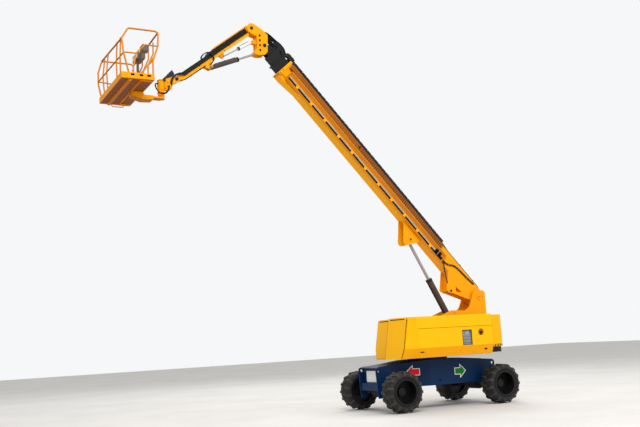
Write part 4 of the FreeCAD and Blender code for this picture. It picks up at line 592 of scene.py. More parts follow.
# Chassis: direction arrows, blank plate, rings round the lashing eyes, bolts of the slewing ring.
ARROW = [(-0.155, 0.0), (-0.01, 0.135), (-0.01, 0.07), (0.15, 0.07), (0.15, -0.07), (-0.01, -0.07),
         (-0.01, -0.135)]
ARROW_EDGE = [(-0.182, 0.0), (0.006, 0.175), (0.006, 0.086), (0.168, 0.086), (0.168, -0.086), (0.006, -0.086),
              (0.006, -0.175)]
# Colour, place along the machine, height, and the way it points.
ARROWS = (("red", 0.82, 0.9, 1), ("green", -0.48, 0.85, -1))
for side, sign in SIDES:
    for label, x, z, way in ARROWS:
        for part, outline, tint, lift in (("edge", ARROW_EDGE, "mark", 0.0012),
                                          ("fill", ARROW, label, 0.0022)):
            side_film("arrow_%s_%s_%s" % (label, part, side), "chassis_frame", "chassis", tint,
                      [(-way * u, v) for u, v in outline], x, z, sign, lift)
sticker("front_plate", "chassis_frame", "chassis", "mark",
        [(-0.243, 0.71), (0.347, 0.71), (0.347, 0.98), (-0.243, 0.98)], (1.9, 0, 0), (0, 1, 0),
        (-1, 0, 0), 0.004)
EYE_X, EYE_Z, RING_Z = 1.71, 0.985, 1.2075
piece = Piece("lashing_rings", "chassis", "navy")
for x in (-EYE_X, EYE_X):
    for sign in (1, -1):
        for y, thick in ((0.4255, 0.006), (0.4045, 0.005)):
            piece.ring((x, sign * y, EYE_Z), (0, 1, 0), 0.041, thick, 32)
piece.done()
piece = Piece("front_plate_rivets", "chassis", "steel")
for y in (-0.225, 0.329):
    for z in (0.728, 0.962):
        face = touch("chassis_frame", (1.9, y, z), (-1, 0, 0))
        piece.rod(face + Vector((0.003, 0, 0)), face + Vector((0.008, 0, 0)), 0.006, 14, 0.001)
piece.done()
piece = Piece("slewing_ring_bolts", "chassis", "steel")
for u, v in circle(1, 40, math.pi / 40):
    piece.rod((u * 0.4985, v * 0.4985, RING_Z), (u * 0.506, v * 0.506, RING_Z), 0.009, 6)
piece.done()


# Counterweight: warning dashes along its lower edge and plugs over the lifting holes.
CORNER_X, CORNER_Y, CORNER_RADIUS, STRAIGHT = -1.31, 0.85, 0.35, 0.104


def weight_edge(s):
    """Point and outward direction s metres rearward along the counterweight's left edge."""
    if s < STRAIGHT:
        return Vector((CORNER_X + STRAIGHT - s, CORNER_Y + CORNER_RADIUS, 0)), Vector((0, 1, 0))
    a = min((s - STRAIGHT) / CORNER_RADIUS, math.pi / 2)
    way = Vector((-math.sin(a), math.cos(a), 0))
    return Vector((CORNER_X, CORNER_Y, 0)) + way * CORNER_RADIUS, way


for side, sign in SIDES:
    def dash_row(bm, sign=sign):
        for k in range(6):
            rows = []
            for z, slant in ((1.404, 0.0), (1.434, 0.02), (1.464, 0.04)):
                row = []
                for step in (0.0, 0.015, 0.03, 0.045):
                    at, way = weight_edge(0.01 + 0.085 * k + step + slant)
                    for lift in (0.0015, 0.0003):
                        point = at + way * lift
                        row.append(bm.verts.new((point.x, sign * point.y, z)))
                rows.append(row)
            for a, b in zip(rows, rows[1:]):
                for j in (0, 2, 4):
                    bm.faces.new((a[j], a[j + 2], b[j + 2], b[j]))
                    bm.faces.new((a[j + 1], b[j + 1], b[j + 3], a[j + 3]))
    piece = Piece("warning_dashes_" + side, "turret", "hose")
    piece.add(dash_row)
    piece.done(smooth=False)
piece = Piece("counterweight_plugs", "turret", "hose")
for sign in (1, -1):
    piece.rod((-1.45, sign * 0.62, 2.19), (-1.45, sign * 0.62, 2.196), 0.045, 28, 0.002)
    face = touch("counterweight", (-2.4, sign * 0.55, 1.75), (1, 0, 0))
    piece.rod(face, face - Vector((0.012, 0, 0)), 0.034, 6, 0.002)
    piece.rod(face, face - Vector((0.004, 0, 0)), 0.05, 24)
piece.done()

# Left hood: window with its gasket, latch in its round recess, grips in the lower band.
LEFT, LOW, RIGHT, HIGH = -0.56, 1.48, -0.27, 1.85
GASKET, FIT = 0.011, 0.0003
piece = Piece("window_pane", "hood_left", "glass")
piece.box((LEFT + 0.002, 1.1885, LOW + 0.002), (RIGHT - 0.002, 1.193, HIGH - 0.002))
piece.done()
piece = Piece("window_gasket", "hood_left", "hose")
for x0, z0, x1, z1 in ((LEFT, LOW, LEFT + GASKET, HIGH), (RIGHT - GASKET, LOW, RIGHT, HIGH),
                       (LEFT + GASKET, LOW, RIGHT - GASKET, LOW + GASKET),
                       (LEFT + GASKET, HIGH - GASKET, RIGHT - GASKET, HIGH)):
    piece.box((x0 + FIT, 1.187, z0 + FIT), (x1 - FIT, 1.2012, z1 - FIT), 0.001)
piece.done()
LATCH_X, LATCH_Z = -0.84, 1.78
# The latch's disc and rim take a darker orange: painted shade of the round recess.
piece = Piece("hood_latch_recess", "hood_left", "recess")
piece.rod((LATCH_X, 1.1942, LATCH_Z), (LATCH_X, 1.1955, LATCH_Z), 0.0785, 48)
piece.done(smooth=False)
piece = Piece("hood_latch_rim", "hood_left", "recess")
piece.ring((LATCH_X, 1.1985, LATCH_Z), (0, 1, 0), 0.0805, 0.004, 48)
piece.done()
piece = Piece("hood_latch_paddle", "hood_left", "hose")
piece.plate([(-0.775, 1.8), (-0.872, 1.808), (-0.884, 1.776), (-0.842, 1.716), (-0.806, 1.732)],
            1.195, 1.204, 0.0015)
piece.rod((LATCH_X, 1.1945, LATCH_Z), (LATCH_X, 1.2075, LATCH_Z), 0.013, 20, 0.001)
piece.done()
# The right hood ends this much further back than the left one.
SETBACK = {"left": 0.0, "right": 0.45}
# Place along the hood, height, half length and half height of each grip, and whether it moves with that end.
GRIPS = (("front", 0.918, 1.376, 0.06, 0.016, 1), ("rear", -0.979, 1.363, 0.042, 0.022, 0))
for label, along, z, half_x, half_z, moves in GRIPS:
    for side, sign in SIDES:
        hood = "hood_" + side
        x = along - moves * SETBACK[side]
        # A dark film paints the shade inside each grip's recess.
        side_film("hood_grip_%s_%s" % (label, side), hood, hood, "dark", oblong(half_x, half_z), x, z, sign,
                  0.0015)
        face = touch(hood, (x, sign * 1.5, z + half_z), (0, -sign, 0)) + Vector((0, sign * 0.002, 0.002))
        piece = Piece("hood_grip_lip_%s_%s" % (label, side), hood, "hood")
        piece.rod(face - Vector((half_x, 0, 0)), face + Vector((half_x, 0, 0)), 0.005, 10)
        piece.done()
FACET_X, GROOVE_Z, HOOD_REAR = 1.0285, 1.93, -1.1985
# A flat dark strip along each hood paints the shade in its groove.
for side, sign in SIDES:
    low, high = sorted((sign * 1.1951, sign * 1.1962))
    piece = Piece("hood_groove_" + side, "hood_" + side, "hoodline")
    piece.box((HOOD_REAR, low, GROOVE_Z - 0.0045), (FACET_X - SETBACK[side], high, GROOVE_Z + 0.0045))
    piece.done(smooth=False)
# Hood and cover meet along a leaning seam: dark rods along it paint the shade in its gap.
SEAM = ((1.376, 0.95, 1.243), (1.333, 1.03, 1.47), (1.203, 1.03, 2.18))
for side, sign in SIDES:
    line = [(x - SETBACK[side], sign * y, z) for x, y, z in SEAM]
    piece = Piece("hood_seam_" + side, "turret", "dark")
    for start, end in zip(line, line[1:]):
        piece.rod(start, end, 0.0055, 6)
    piece.done(smooth=False)
# A dark film paints the shade in the slit of each front cover.
for side, sign in SIDES:
    sticker("cover_slit_shade_" + side, "cover_front_" + side, "turret", "dark", oblong(0.29, 0.011),
            (1.6 - SETBACK[side], sign * 0.655, 2.176), (0, 1, 0), (-1, 0, 0), 0.0015)

# Ground controls behind the window: switches, key, gauge, stop button and blank labels.
PANEL_BACK, PANEL_Y = 1.1603, 1.1633
piece = Piece("control_panel", "turret", "panel")
piece.box((-0.59, PANEL_BACK, 1.475), (-0.24, PANEL_Y, 1.855), 0.001)
piece.done()
switches = Piece("control_switches", "turret", "steel")
boots = Piece("control_boots", "turret", "hose")
labels = Piece("control_labels", "turret", "mark")
for row in range(3):
    for column in range(4):
        x = -0.52 + 0.07 * column
        z = 1.54 + 0.075 * row
        boots.rod((x, PANEL_Y, z), (x, PANEL_Y + 0.005, z), 0.012, 18, 0.001)
        switches.rod((x, PANEL_Y + 0.004, z), (x, PANEL_Y + 0.017, z + 0.006), 0.0035, 12, 0.001)
        labels.box((x - 0.02, PANEL_Y, z + 0.022), (x + 0.02, PANEL_Y + 0.0008, z + 0.034))
labels.box((-0.5, PANEL_Y, 1.745), (-0.4, PANEL_Y + 0.0008, 1.815))
labels.rod((-0.33, PANEL_Y, 1.785), (-0.33, PANEL_Y + 0.004, 1.785), 0.026, 30)
labels.done()
boots.ring((-0.33, PANEL_Y + 0.003, 1.785), (0, 1, 0), 0.028, 0.004, 32)
boots.rod((-0.545, PANEL_Y, 1.78), (-0.545, PANEL_Y + 0.009, 1.78), 0.014, 20, 0.001)
boots.done()
switches.done()
piece = Piece("control_stop_button", "turret", "knob_red")
piece.rod((-0.272, PANEL_Y, 1.56), (-0.272, PANEL_Y + 0.012, 1.56), 0.01, 20)
piece.rod((-0.272, PANEL_Y + 0.009, 1.56), (-0.272, PANEL_Y + 0.019, 1.56), 0.019, 28, 0.003)
piece.done()

# Pins of the cylinders: x and z, in the machine's frame or in that of the boom or the jib.
LIFT_BASE = (-1.21, 1.371)
LIFT_EYE = (2.46, -0.44)
RAM_EYE = (1.51, -0.216)
LEVEL_EYE = (1.06, -0.168)

# Uprights: keepers over the pivot pin, caps over the lift cylinder's base pin.
keepers = Piece("pivot_keepers", "turret", "boom")
keeper_bolts = Piece("pivot_keeper_bolts", "turret", "steel")
for sign in (1, -1):
    low, high = sorted((sign * 0.262, sign * 0.27))
    keepers.box((-1.72, low, 2.676), (-1.58, high, 2.724), 0.002)
    for x in (-1.7, -1.6):
        keeper_bolts.bolt((x, sign * 0.27, 2.7), (0, sign, 0), 0.011, 0.01)
    keeper_bolts.pin_cap(*LIFT_BASE, sign * 0.2405, 0.055, 0.036, 0.5, 0.007)
keepers.done()
keeper_bolts.done()


# Boom, outer section: collar bolts, pin caps, tray rivets, links in the tray's slots, ribs and carrier cover.
COLLAR_X = 7.825
def outer(name, material):
    """A piece fixed to the outer section."""
    return Piece(name, "boom_outer", material, BOOM)


piece = outer("collar_bolts", "iron")
for sign in (1, -1):
    for z in (-0.24, -0.13, 0.0, 0.13):
        if sign < 0 or z < 0.0:
            piece.bolt((COLLAR_X, sign * 0.185, z), (0, sign, 0), 0.011, 0.01)
    for y in (0.05, 0.13):
        piece.bolt((COLLAR_X, sign * y, -0.27), (0, 0, -1), 0.011, 0.01)
    piece.bolt((COLLAR_X, -0.05 - 0.04 * (1 + sign), 0.2), (0, 0, 1), 0.011, 0.01)
    piece.bolt((LIFT_EYE[0], sign * 0.152, LIFT_EYE[1]), (0, sign, 0), 0.02, 0.012)
piece.done()
FIRST_BAR, SLOT_PITCH, SLOT_BAR, SLOTS = 1.98, 0.53, 0.08, 11
TRAY_FACE, FILM_BACK, FILM_FACE, CHAIN_FACE = 0.235, 0.2352, 0.2366, 0.233
rivets = outer("tray_rivets", "boom")
posts = outer("tray_posts", "post")
piece = outer("tray_edges", "post")
for z in (-0.112, 0.014):
    piece.box((1.46, FILM_BACK, z - 0.004), (7.63, FILM_FACE, z + 0.004))
piece.done(smooth=False)
links = outer("tray_links", "link")
shadow = outer("tray_shadow", "dark")
for slot in range(SLOTS + 1):
    start = FIRST_BAR + (slot - 1) * SLOT_PITCH + SLOT_BAR / 2 if slot else 1.5
    end = FIRST_BAR + slot * SLOT_PITCH - SLOT_BAR / 2 if slot < SLOTS else 7.6
    shadow.box((start + 0.001, 0.229, -0.2045), (end - 0.001, 0.2312, -0.157))
    if slot < SLOTS:
        posts.box((end + 0.002, FILM_BACK, -0.207), (end + SLOT_BAR - 0.002, FILM_FACE, -0.112))
        x = end + SLOT_BAR / 2
        for z in (-0.193, -0.127):
            rivets.rod((x, TRAY_FACE, z), (x, TRAY_FACE + 0.004, z), 0.012, 16, 0.0015)
    count = int((end - start) / 0.07)
    pitch = (end - start) / count
    for k in range(count):
        x = start + pitch * k
        links.box((x + 0.003, 0.23, -0.156), (x + pitch - 0.009, CHAIN_FACE, -0.1165), 0.001)
        links.box((x + 0.014, CHAIN_FACE, -0.147), (x + pitch - 0.02, 0.2345, -0.126), 0.0005)
rivets.done()
posts.done(smooth=False)
links.done()
shadow.done(smooth=False)
CARRIER_FACE, COVER_FACE = 0.2253, 0.2335
piece = outer("carrier_cover", "cover")
piece.box((5.08, CARRIER_FACE, 0.04), (7.74, COVER_FACE, 0.16), 0.003)
piece.rod((5.09, CARRIER_FACE, 0.1), (5.09, COVER_FACE, 0.1), 0.058, 32, 0.003)
piece.done()
piece = outer("carrier_cover_lines", "brownline")
for z in (0.066, 0.134):
    piece.rod((5.1, COVER_FACE, z), (7.72, COVER_FACE, z), 0.0022, 6)
piece.done()
piece = outer("carrier_ribs", "ribs")
for k in range(56):
    x = 1.715 + 0.06 * k
    piece.box((x, CARRIER_FACE, 0.036), (x + 0.036, 0.2315, 0.159), 0.0015)
piece.done()
piece = outer("carrier_pins", "iron")
for k in range(40):
    x = 1.82 + 0.15 * k
    for y, far in ((0.16, 0.164), (0.04, 0.036)):
        piece.rod((x, y, 0.228), (x, far, 0.228), 0.02, 18, 0.001)
piece.done()
piece = outer("hose_clamps", "iron")
for x in (0.4, 0.95):
    piece.box((x - 0.02, 0.04, 0.1703), (x + 0.02, 0.154, 0.2085), 0.002)
    for y in (0.046, 0.148):
        piece.bolt((x, y, 0.2085), (0, 0, 1), 0.005, 0.006)
piece.done()
piece = outer("foot_pin_details", "iron")
for sign in (1, -1):
    piece.rod((0.715, sign * 0.1785, -0.52), (0.715, sign * 0.1835, -0.52), 0.032, 24, 0.001)
piece.done()
# Two pairs of hoses leave the tray: one runs up to the bundle, one down to the foot.
UP_LINE = [(1.64, 0.237, -0.15), (1.56, 0.238, -0.15), (1.49, 0.23, -0.152), (1.425, 0.198, -0.146),
           (1.33, 0.185, -0.132), (1.23, 0.185, -0.092), (1.15, 0.185, -0.03), (1.089, 0.185, 0.01),
           (0.942, 0.185, 0.048), (0.713, 0.185, 0.068), (0.56, 0.185, 0.084), (0.44, 0.185, 0.1),
           (0.33, 0.183, 0.116)]
DOWN_LINE = [(1.64, 0.237, -0.178), (1.54, 0.238, -0.176), (1.45, 0.21, -0.168), (1.36, 0.187, -0.17),
             (1.3, 0.185, -0.205), (1.23, 0.185, -0.27), (1.13, 0.185, -0.335), (1.04, 0.185, -0.385),
             (0.955, 0.183, -0.44), (0.925, 0.17, -0.458)]
piece = outer("foot_hose", "hose")
for shift in (0.0, 0.021):
    piece.tube(shifted(UP_LINE, dz=shift), 0.01, 12)
    piece.tube(shifted(DOWN_LINE, dx=shift), 0.01, 12)
piece.done()
piece = outer("foot_hose_clips", "steel")
for x, z in ((1.23, -0.092), (0.942, 0.048), (0.6, 0.08), (1.13, -0.335)):
    piece.box((x - 0.012, 0.177, z - 0.02), (x + 0.012, 0.1955, z + 0.04), 0.004)
piece.done()
OUTLET = [(1.79, 0.23, 0.004), (1.745, 0.244, 0.002), (1.69, 0.249, 0), (1.635, 0.244, 0.004),
          (1.585, 0.23, 0.014)]
piece = outer("tray_hose_outlet", "dark")
for k in range(4):
    piece.tube(shifted(OUTLET, dz=-0.182 + 0.034 * k), 0.0165, 12)
piece.done()
piece = outer("tray_hose_grip", "steel")
piece.box((1.676, 0.23, -0.204), (1.704, 0.268, -0.056), 0.005)
piece.done()

# Middle and inner sections: collars, pad bolts, bolts on the nose pin.
piece = Piece("middle_collar", "boom_mid", "black", BOOM)
for y0, y1, z0, z1 in ((0.1453, 0.16, -0.2, 0.168), (-0.16, -0.1453, -0.2, 0.168),
                       (-0.1453, 0.1453, 0.1503, 0.168), (-0.1453, 0.1453, -0.2, -0.1803)):
    piece.box((8.03, y0, z0), (8.075, y1, z1), 0.002)
for sign in (1, -1):
    for z in (-0.12, 0.09):
        piece.bolt((8.052, sign * 0.16, z), (0, sign, 0), 0.01, 0.009)
piece.done()
BRACKET_TOP = 0.318
piece = outer("carrier_end_bracket", "black")
piece.box((7.8, 0.044, 0.2805), (7.945, 0.156, BRACKET_TOP), 0.004)
piece.box((7.84, 0.06, BRACKET_TOP), (7.9, 0.14, 0.336), 0.004)
piece.done()
piece = outer("carrier_end_bolts", "steel")
for x in (7.82, 7.925):
    for y in (0.07, 0.13):
        piece.bolt((x, y, BRACKET_TOP), (0, 0, 1), 0.009, 0.012)
piece.done()
# Head: dark oval films down its side plates paint the shade in its oval openings.
OVAL = [(0.026 * u, 0.034 * v) for u, v in circle(1, 16)]
for side, sign in SIDES:
    for number, z in enumerate((9.22, 9.1, 8.975, 8.85), 1):
        side_film("head_opening_%s_%d" % (side, number), "head_bracket", "head", "dark", OVAL, 4.285, z, sign,
                  cuts=1)
head_pin = BOOM @ Vector((8.56, 0, -0.06))
piece = Piece("nose_pin_caps", "head", "iron")
for sign in (1, -1):
    piece.pin_cap(head_pin.x, head_pin.z, sign * 0.135, 0.045, 0.026, 0.4)
    piece.pin_cap(JIB_PIVOT[0], JIB_PIVOT[2], sign * 0.129, 0.04, 0.026, 0.4)
piece.done()


# Jib: hoses along its left side held by clamps, a strap of hoses round its lower end, plates at its pins.
HOSE, THIN_HOSE = 0.0122, 0.0108
STEP_START, STEP_END = 1.38, 1.54
jib_hoses = Piece("jib_hose_lines", "jib", "hose", JIB)
for k in range(6):
    y = 0.0815 + (0.009 if k % 2 else 0.0)
    high = -0.028 + 0.0225 * k
    low = -0.03 + 0.0165 * k
    jib_hoses.tube([(0.14, y, high - 0.004), (0.4, y, high), (0.8, y, high), (STEP_START, y, high),
                    ((STEP_START + STEP_END) / 2, y, (high + low) / 2), (STEP_END, y, low), (1.9, y, low),
                    (2.2, y, low)], THIN_HOSE, 10, 3)
for x, low, high in ((0.3, -0.043, 0.099), (0.75, -0.043, 0.099), (1.2, -0.043, 0.099), (1.72, -0.045, 0.056),
                     (2.12, -0.045, 0.056)):
    jib_hoses.box((x - 0.014, 0.0706, low), (x + 0.014, 0.1035, high), 0.002)
item = jib_hoses.done()
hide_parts("jib_hoses")
STRAP = [(1.555, 0.045, 0.064), (1.55, 0.066, 0.094), (1.51, 0.09, 0.116), (1.43, 0.108, 0.124),
         (1.35, 0.115, 0.1), (1.315, 0.1175, 0.06), (1.3, 0.1175, 0.0), (1.302, 0.1165, -0.05),
         (1.325, 0.112, -0.1), (1.365, 0.105, -0.132), (1.42, 0.096, -0.15)]
piece = Piece("jib_strap", "jib", "hose", JIB)
for shift in (0.0, 0.022):
    piece.tube(shifted(STRAP, dx=shift) + [(1.478, 0.082, -0.152)], 0.0125)
piece.done()
piece = Piece("jib_under_hose", "jib", "hose", JIB)
piece.tube([(1.6, 0.078, -0.118), (1.66, 0.07, -0.121), (1.8, 0.052, -0.118), (2.1, 0.052, -0.116),
            (2.22, 0.056, -0.113), (2.3, 0.066, -0.092), (2.36, 0.074, -0.066)], 0.0115)
for x, z in ((1.75, -0.118), (2.05, -0.116)):
    piece.box((x - 0.013, 0.036, z - 0.016), (x + 0.013, 0.0695, -0.098), 0.002)
piece.done()


# Hoses from the boom's nose into the head, and from the jib's end to the valves on the platform bracket.
def nose_hoses(name, count, first, pitch, line, end):
    """A row of equal hoses between the nose and the head, baked where they lie."""
    piece = Piece(name, "boom_inner", "hose", BOOM)
    for k in range(count):
        piece.tube([(x, first + pitch * k, z) for x, z in line], HOSE)
    piece.bend("head", (8.46, 0, 0.1), (end, 0, 0.1))


nose_hoses("head_hoses", 6, -0.064, 0.0255,
           [(8.015, 0.202), (8.045, 0.262), (8.105, 0.308), (8.18, 0.342), (8.25, 0.349), (8.35, 0.346),
            (8.45, 0.318), (8.62, 0.29), (8.73, 0.262), (8.81, 0.208), (8.845, 0.135)], 8.78)
END_LINES = ([(7.89, 0, 0.3), (7.94, 0, 0.318), (7.985, -0.012, 0.326), (8.03, -0.03, 0.318),
              (8.06, -0.044, 0.29)],
             [(7.89, 0, 0.28), (7.94, 0, 0.294), (7.985, -0.012, 0.298), (8.04, -0.034, 0.276)],
             [(7.89, 0, 0.262), (7.94, 0, 0.27), (7.985, -0.012, 0.27), (8.04, -0.034, 0.246)],
             [(7.9, 0, 0.242), (7.945, 0, 0.246), (7.985, -0.012, 0.244), (8.04, -0.034, 0.22)])
piece = outer("carrier_end_hoses", "hose")
for k in range(4):
    for line in END_LINES:
        piece.tube(shifted(line, dy=0.0625 + 0.025 * k), HOSE)
piece.done()
nose_hoses("head_inner_hoses", 5, -0.052, 0.026,
           [(8.38, 0.185), (8.46, 0.2), (8.56, 0.206), (8.66, 0.196), (8.74, 0.16), (8.8, 0.105)], 8.78)
nose_hoses("head_lower_hoses", 5, -0.052, 0.026,
           [(8.34, 0.15), (8.42, 0.16), (8.52, 0.166), (8.61, 0.163), (8.68, 0.152), (8.735, 0.13)], 8.7)
piece = Piece("bracket_hoses", "jib", "hose", JIB)
for k in range(5):
    y = 0.09 + 0.0085 * (k % 2)
    z = -0.026 + 0.0175 * k
    piece.tube([(2.13, y - 0.004, z), (2.2, y + 0.004, z + 0.004), (2.28, y + 0.026, z * 0.6 + 0.052),
                (2.38, y + 0.036, z * 0.4 + 0.082), (2.48, y + 0.034, z * 0.4 + 0.07),
                (2.56, y + 0.026, z * 0.6 + 0.02), (2.61, y + 0.008, z * 0.8 - 0.035),
                (2.63, y - 0.006, z * 0.8 - 0.06)], THIN_HOSE)
piece.bend("platform_mount", (2.26, 0, 0), (2.54, 0, 0))
piece = Piece("jib_hose_fittings", "jib", "steel", JIB)
piece.rod((1.566, 0.045, 0.057), (1.566, 0.047, 0.078), 0.024, 6, 0.001)
piece.rod((1.49, 0.0695, -0.15), (1.49, 0.08, -0.15), 0.015, 6, 0.001)
for sign in (1, -1):
    x, z = RAM_EYE
    piece.rod((x, sign * 0.0755, z), (x, sign * 0.0805, z), 0.038, 28, 0.002)
    piece.bolt((x, sign * 0.0805, z), (0, sign, 0), 0.012, 0.01)
    x, z = LEVEL_EYE
    piece.rod((x, sign * 0.0625, z), (x, sign * 0.0665, z), 0.024, 24, 0.001)
piece.done()
piece = Piece("jib_cover_bolts", "jib", "iron", JIB)
for x in (0.12, 0.95):
    for z in (0.092, -0.075):
        for sign in (1, -1):
            piece.bolt((x, sign * 0.07, z), (0, sign, 0), 0.009, 0.008)
piece.done()


# Cylinders: glands, end caps, ports and feed pipes, each in its cylinder's own frame.
def between_pins(start, end):
    """Frame at the first pin with x along the line to the second."""
    start, end = Vector(start), Vector(end)
    way = end - start
    return leaning(start, math.degrees(math.atan2(way.z, way.x)))


def pin(place, eye):
    """Where a pin given by x and z in a leaning frame lies."""
    return place @ Vector((eye[0], 0, eye[1]))


HEAD = Matrix.Translation(JIB_PIVOT)
LIFT = between_pins(pin(WORLD, LIFT_BASE), pin(BOOM, LIFT_EYE))
RAM = between_pins(pin(JIB, RAM_EYE), pin(HEAD, (-0.12, -0.61)))
LEVEL = between_pins(pin(HEAD, (-0.03, -0.318)), pin(JIB, LEVEL_EYE))
# Frame, barrel radius, barrel length, width of the end ring, how far aside and on which side the feed pipe
# lies, pipe radius, tint.
CYLINDERS = (("lift_barrel", LIFT, 0.082, 2.08, 0.06, 0.03, -1, 0.01, "iron"),
             ("jib_ram_barrel", RAM, 0.055, 0.79, 0.045, 0.018, -1, 0.007, "iron"),
             ("level_barrel", LEVEL, 0.042, 0.43, 0.05, 0.012, 1, 0.005, "hose"))
for body, place, radius, length, width, aside, over, pipe, tint in CYLINDERS:
    piece = Piece(body + "_gland", body, tint, place)
    piece.rod((length - width, 0, 0), (length - 0.002, 0, 0), radius + 0.005, 40, 0.002)
    for y, z in circle(radius * 0.8, 6, math.pi / 6):
        piece.rod((length - 0.003, y, z), (length + 0.003, y, z), radius * 0.1, 10)
    piece.done()
    near, far = 0.18 * length, length - width - 0.03
    middle = (near + far) / 2
    reach = math.sqrt(radius ** 2 - aside ** 2)
    deep, low, stand = (over * (reach + rise) for rise in (-0.004, pipe * 0.3, pipe * 1.3))
    piece = Piece(body + "_feed", body, "iron", place)
    piece.tube([(near, aside, deep), (near, aside, low), (near + 2.5 * pipe, aside, stand),
                (middle, aside, stand), (far - 2.5 * pipe, aside, stand), (far, aside, low),
                (far, aside, deep)], pipe)
    for x in (near, far):
        piece.rod((x, aside, deep), (x, aside, over * (reach + pipe)), pipe * 1.5, 6, 0.001)
    low, high = sorted((deep, over * (reach + pipe * 2.5)))
    piece.box((middle - 0.014, aside - pipe * 1.6, low), (middle + 0.014, aside + pipe * 1.6, high), 0.001)
    piece.done()

# Platform bracket: black cover over the valves, pin caps, bolts of the rotator, hose loop below it.
MOUNT = Matrix.Translation(JIB @ Vector((2.42, 0, 0)))
# The upper and outer corner of the cover; bolts stand along the edge between them.
COVER_TOP, COVER_OUT = (0.1045, 0.213), (0.3318, -0.0302)
piece = Piece("valve_cover", "platform_mount", "plastic", MOUNT)
piece.plate([(0.0445, 0.1105), COVER_TOP, COVER_OUT, (0.2862, -0.0895)], -0.1035, 0.1035, 0.01)
for along in (0.25, 0.75):
    for y in (-0.06, 0.06):
        at = Vector((COVER_TOP[0], y, COVER_TOP[1])).lerp(Vector((COVER_OUT[0], y, COVER_OUT[1])), along)
        piece.bolt(at, (0.731, 0, 0.683), 0.009, 0.008)
piece.done()
piece = Piece("platform_pin_caps", "platform_mount", "iron", MOUNT)
for sign in (1, -1):
    piece.pin_cap(0, 0, sign * 0.118, 0.04, 0.024, 0.3)
    for x, z in ((0.215, -0.1), (0.215, -0.2), (0.075, 0.035)):
        piece.bolt((x, sign * 0.106, z), (0, sign, 0), 0.01, 0.009)
piece.done()
ROTATOR_X, ROTATOR_LOW, ROTATOR_HIGH, ROTATOR_RADIUS = 6.76, 7.56, 7.88, 0.085
CAP_TOP = ROTATOR_HIGH + 0.012
piece = Piece("rotator_bolts", "platform_mount", "iron")
piece.rod((ROTATOR_X, 0, ROTATOR_HIGH), (ROTATOR_X, 0, CAP_TOP), 0.062, 36, 0.003)
for u, v in circle(0.046, 8):
    piece.bolt((ROTATOR_X + u, v, CAP_TOP), (0, 0, 1), 0.006, 0.006)
for z in (ROTATOR_LOW + 0.012, ROTATOR_HIGH - 0.012):
    piece.ring((ROTATOR_X, 0, z), (0, 0, 1), ROTATOR_RADIUS, 0.005, 48)
piece.done()
piece = Piece("support_bolts", "platform", "iron")
for y in (-0.075, 0.075):
    for x in (7.04, 7.16):
        piece.bolt((x, y, 7.465), (0, 0, 1), 0.011, 0.01)
piece.done()

# Platform underside: panels of expanded metal between the bearers, in a dark brown-orange that paints the
# underside's shade.
piece = Piece("under_deck", "platform", "deckmesh")
for x0, y0, x1, y1 in ((7.225, -0.905, 7.465, -0.155), (7.225, 0.155, 7.465, 0.905),
                       (7.515, -0.965, 7.69, 0.965), (7.77, -0.965, 7.915, 0.965)):
    piece.box((x0, y0, 7.5265), (x1, y1, 7.5298))
piece.done(smooth=False)
# Dark plates behind the toe board's holes paint the shade seen through them.
piece = Piece("toe_hole_painted_shade", "platform", "dark")
for x in (7.33, 7.5, 7.69):
    piece.box((x - 0.05, 1.0255, 7.575), (x + 0.05, 1.0275, 7.65))
piece.done(smooth=False)


def free_hose(name, body, points, diameter):
    """Loose hose on one smooth spline, held at both ends by the same body."""
    data = bpy.data.curves.new(name, "CURVE")
    data.dimensions = "3D"
    spline = data.splines.new("NURBS")
    spline.points.add(len(points) - 1)
    for point, place in zip(spline.points, points):
        point.co = (*place, 1)
    spline.order_u = 3
    spline.use_endpoint_u = True
    spline.resolution_u = 10
    item = placed(name, data)
    line = bpy.data.meshes.new_from_object(item)
    data.bevel_depth = diameter / 2
    data.bevel_resolution = 3
    data.use_fill_caps = True
    data.materials.append(M["hose"])
    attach(item, body)


for number, (y, drop) in enumerate(((0.128, 0.0), (0.158, 0.026)), 1):
    free_hose("rotator_hose_%d" % number, "platform_mount",
              [(6.6, 0.104, 7.745), (6.604, y, 7.742), (6.612, y, 7.69 - drop), (6.64, y, 7.615 - drop),
               (6.7, y, 7.56 - drop), (6.775, y, 7.54 - drop), (6.85, y, 7.562 - drop),
               (6.905, y - 0.01, 7.635 - drop), (6.928, y - 0.03, 7.72), (6.91, y - 0.07, 7.775),
               (6.87, y - 0.1, 7.79), (6.83, 0.028 * number - 0.02, 7.792)], 0.024)

# Control console: joysticks in boots, switches, stop button, blank labels, cover behind it.
TOP = 8.46


def upright(x, y, low, high, *form, **taper):
    """Round upright on the console's top."""
    piece.rod((x, y, TOP + low), (x, y, TOP + high), *form, **taper)


piece = Piece("console_joysticks", "platform", "hose")
for y in (-0.215, -0.085, 0.09):
    for low, high, wide, thin in ((0.0, 0.012, 0.032, 0.029), (0.012, 0.024, 0.026, 0.021),
                                  (0.024, 0.038, 0.018, 0.011)):
        upright(7.245, y, low, high, wide, 24, taper=thin)
    upright(7.245, y, 0.036, 0.085, 0.006, 12)
    upright(7.245, y, 0.08, 0.125, 0.014, 20, 0.005, taper=0.018)
piece.done()
toggles = Piece("console_switches", "platform", "steel")
toggle_rings = Piece("console_switch_rings", "platform", "hose")
for k in range(7):
    y = -0.245 + 0.055 * k
    toggle_rings.rod((7.3, y, TOP), (7.3, y, TOP + 0.004), 0.01, 18, 0.001)
    toggles.rod((7.3, y, TOP + 0.003), (7.304, y, TOP + 0.018), 0.003, 10)
toggles.done()
toggle_rings.done()
piece = Piece("console_labels", "platform", "mark")
for y0, y1 in ((-0.262, -0.16), (-0.135, -0.03), (0.045, 0.13)):
    piece.box((7.33, y0, 8.35), (7.3308, y1, 8.43))
    piece.box((7.272, y0, TOP), (7.286, y1, TOP + 0.0008))
piece.done(smooth=False)
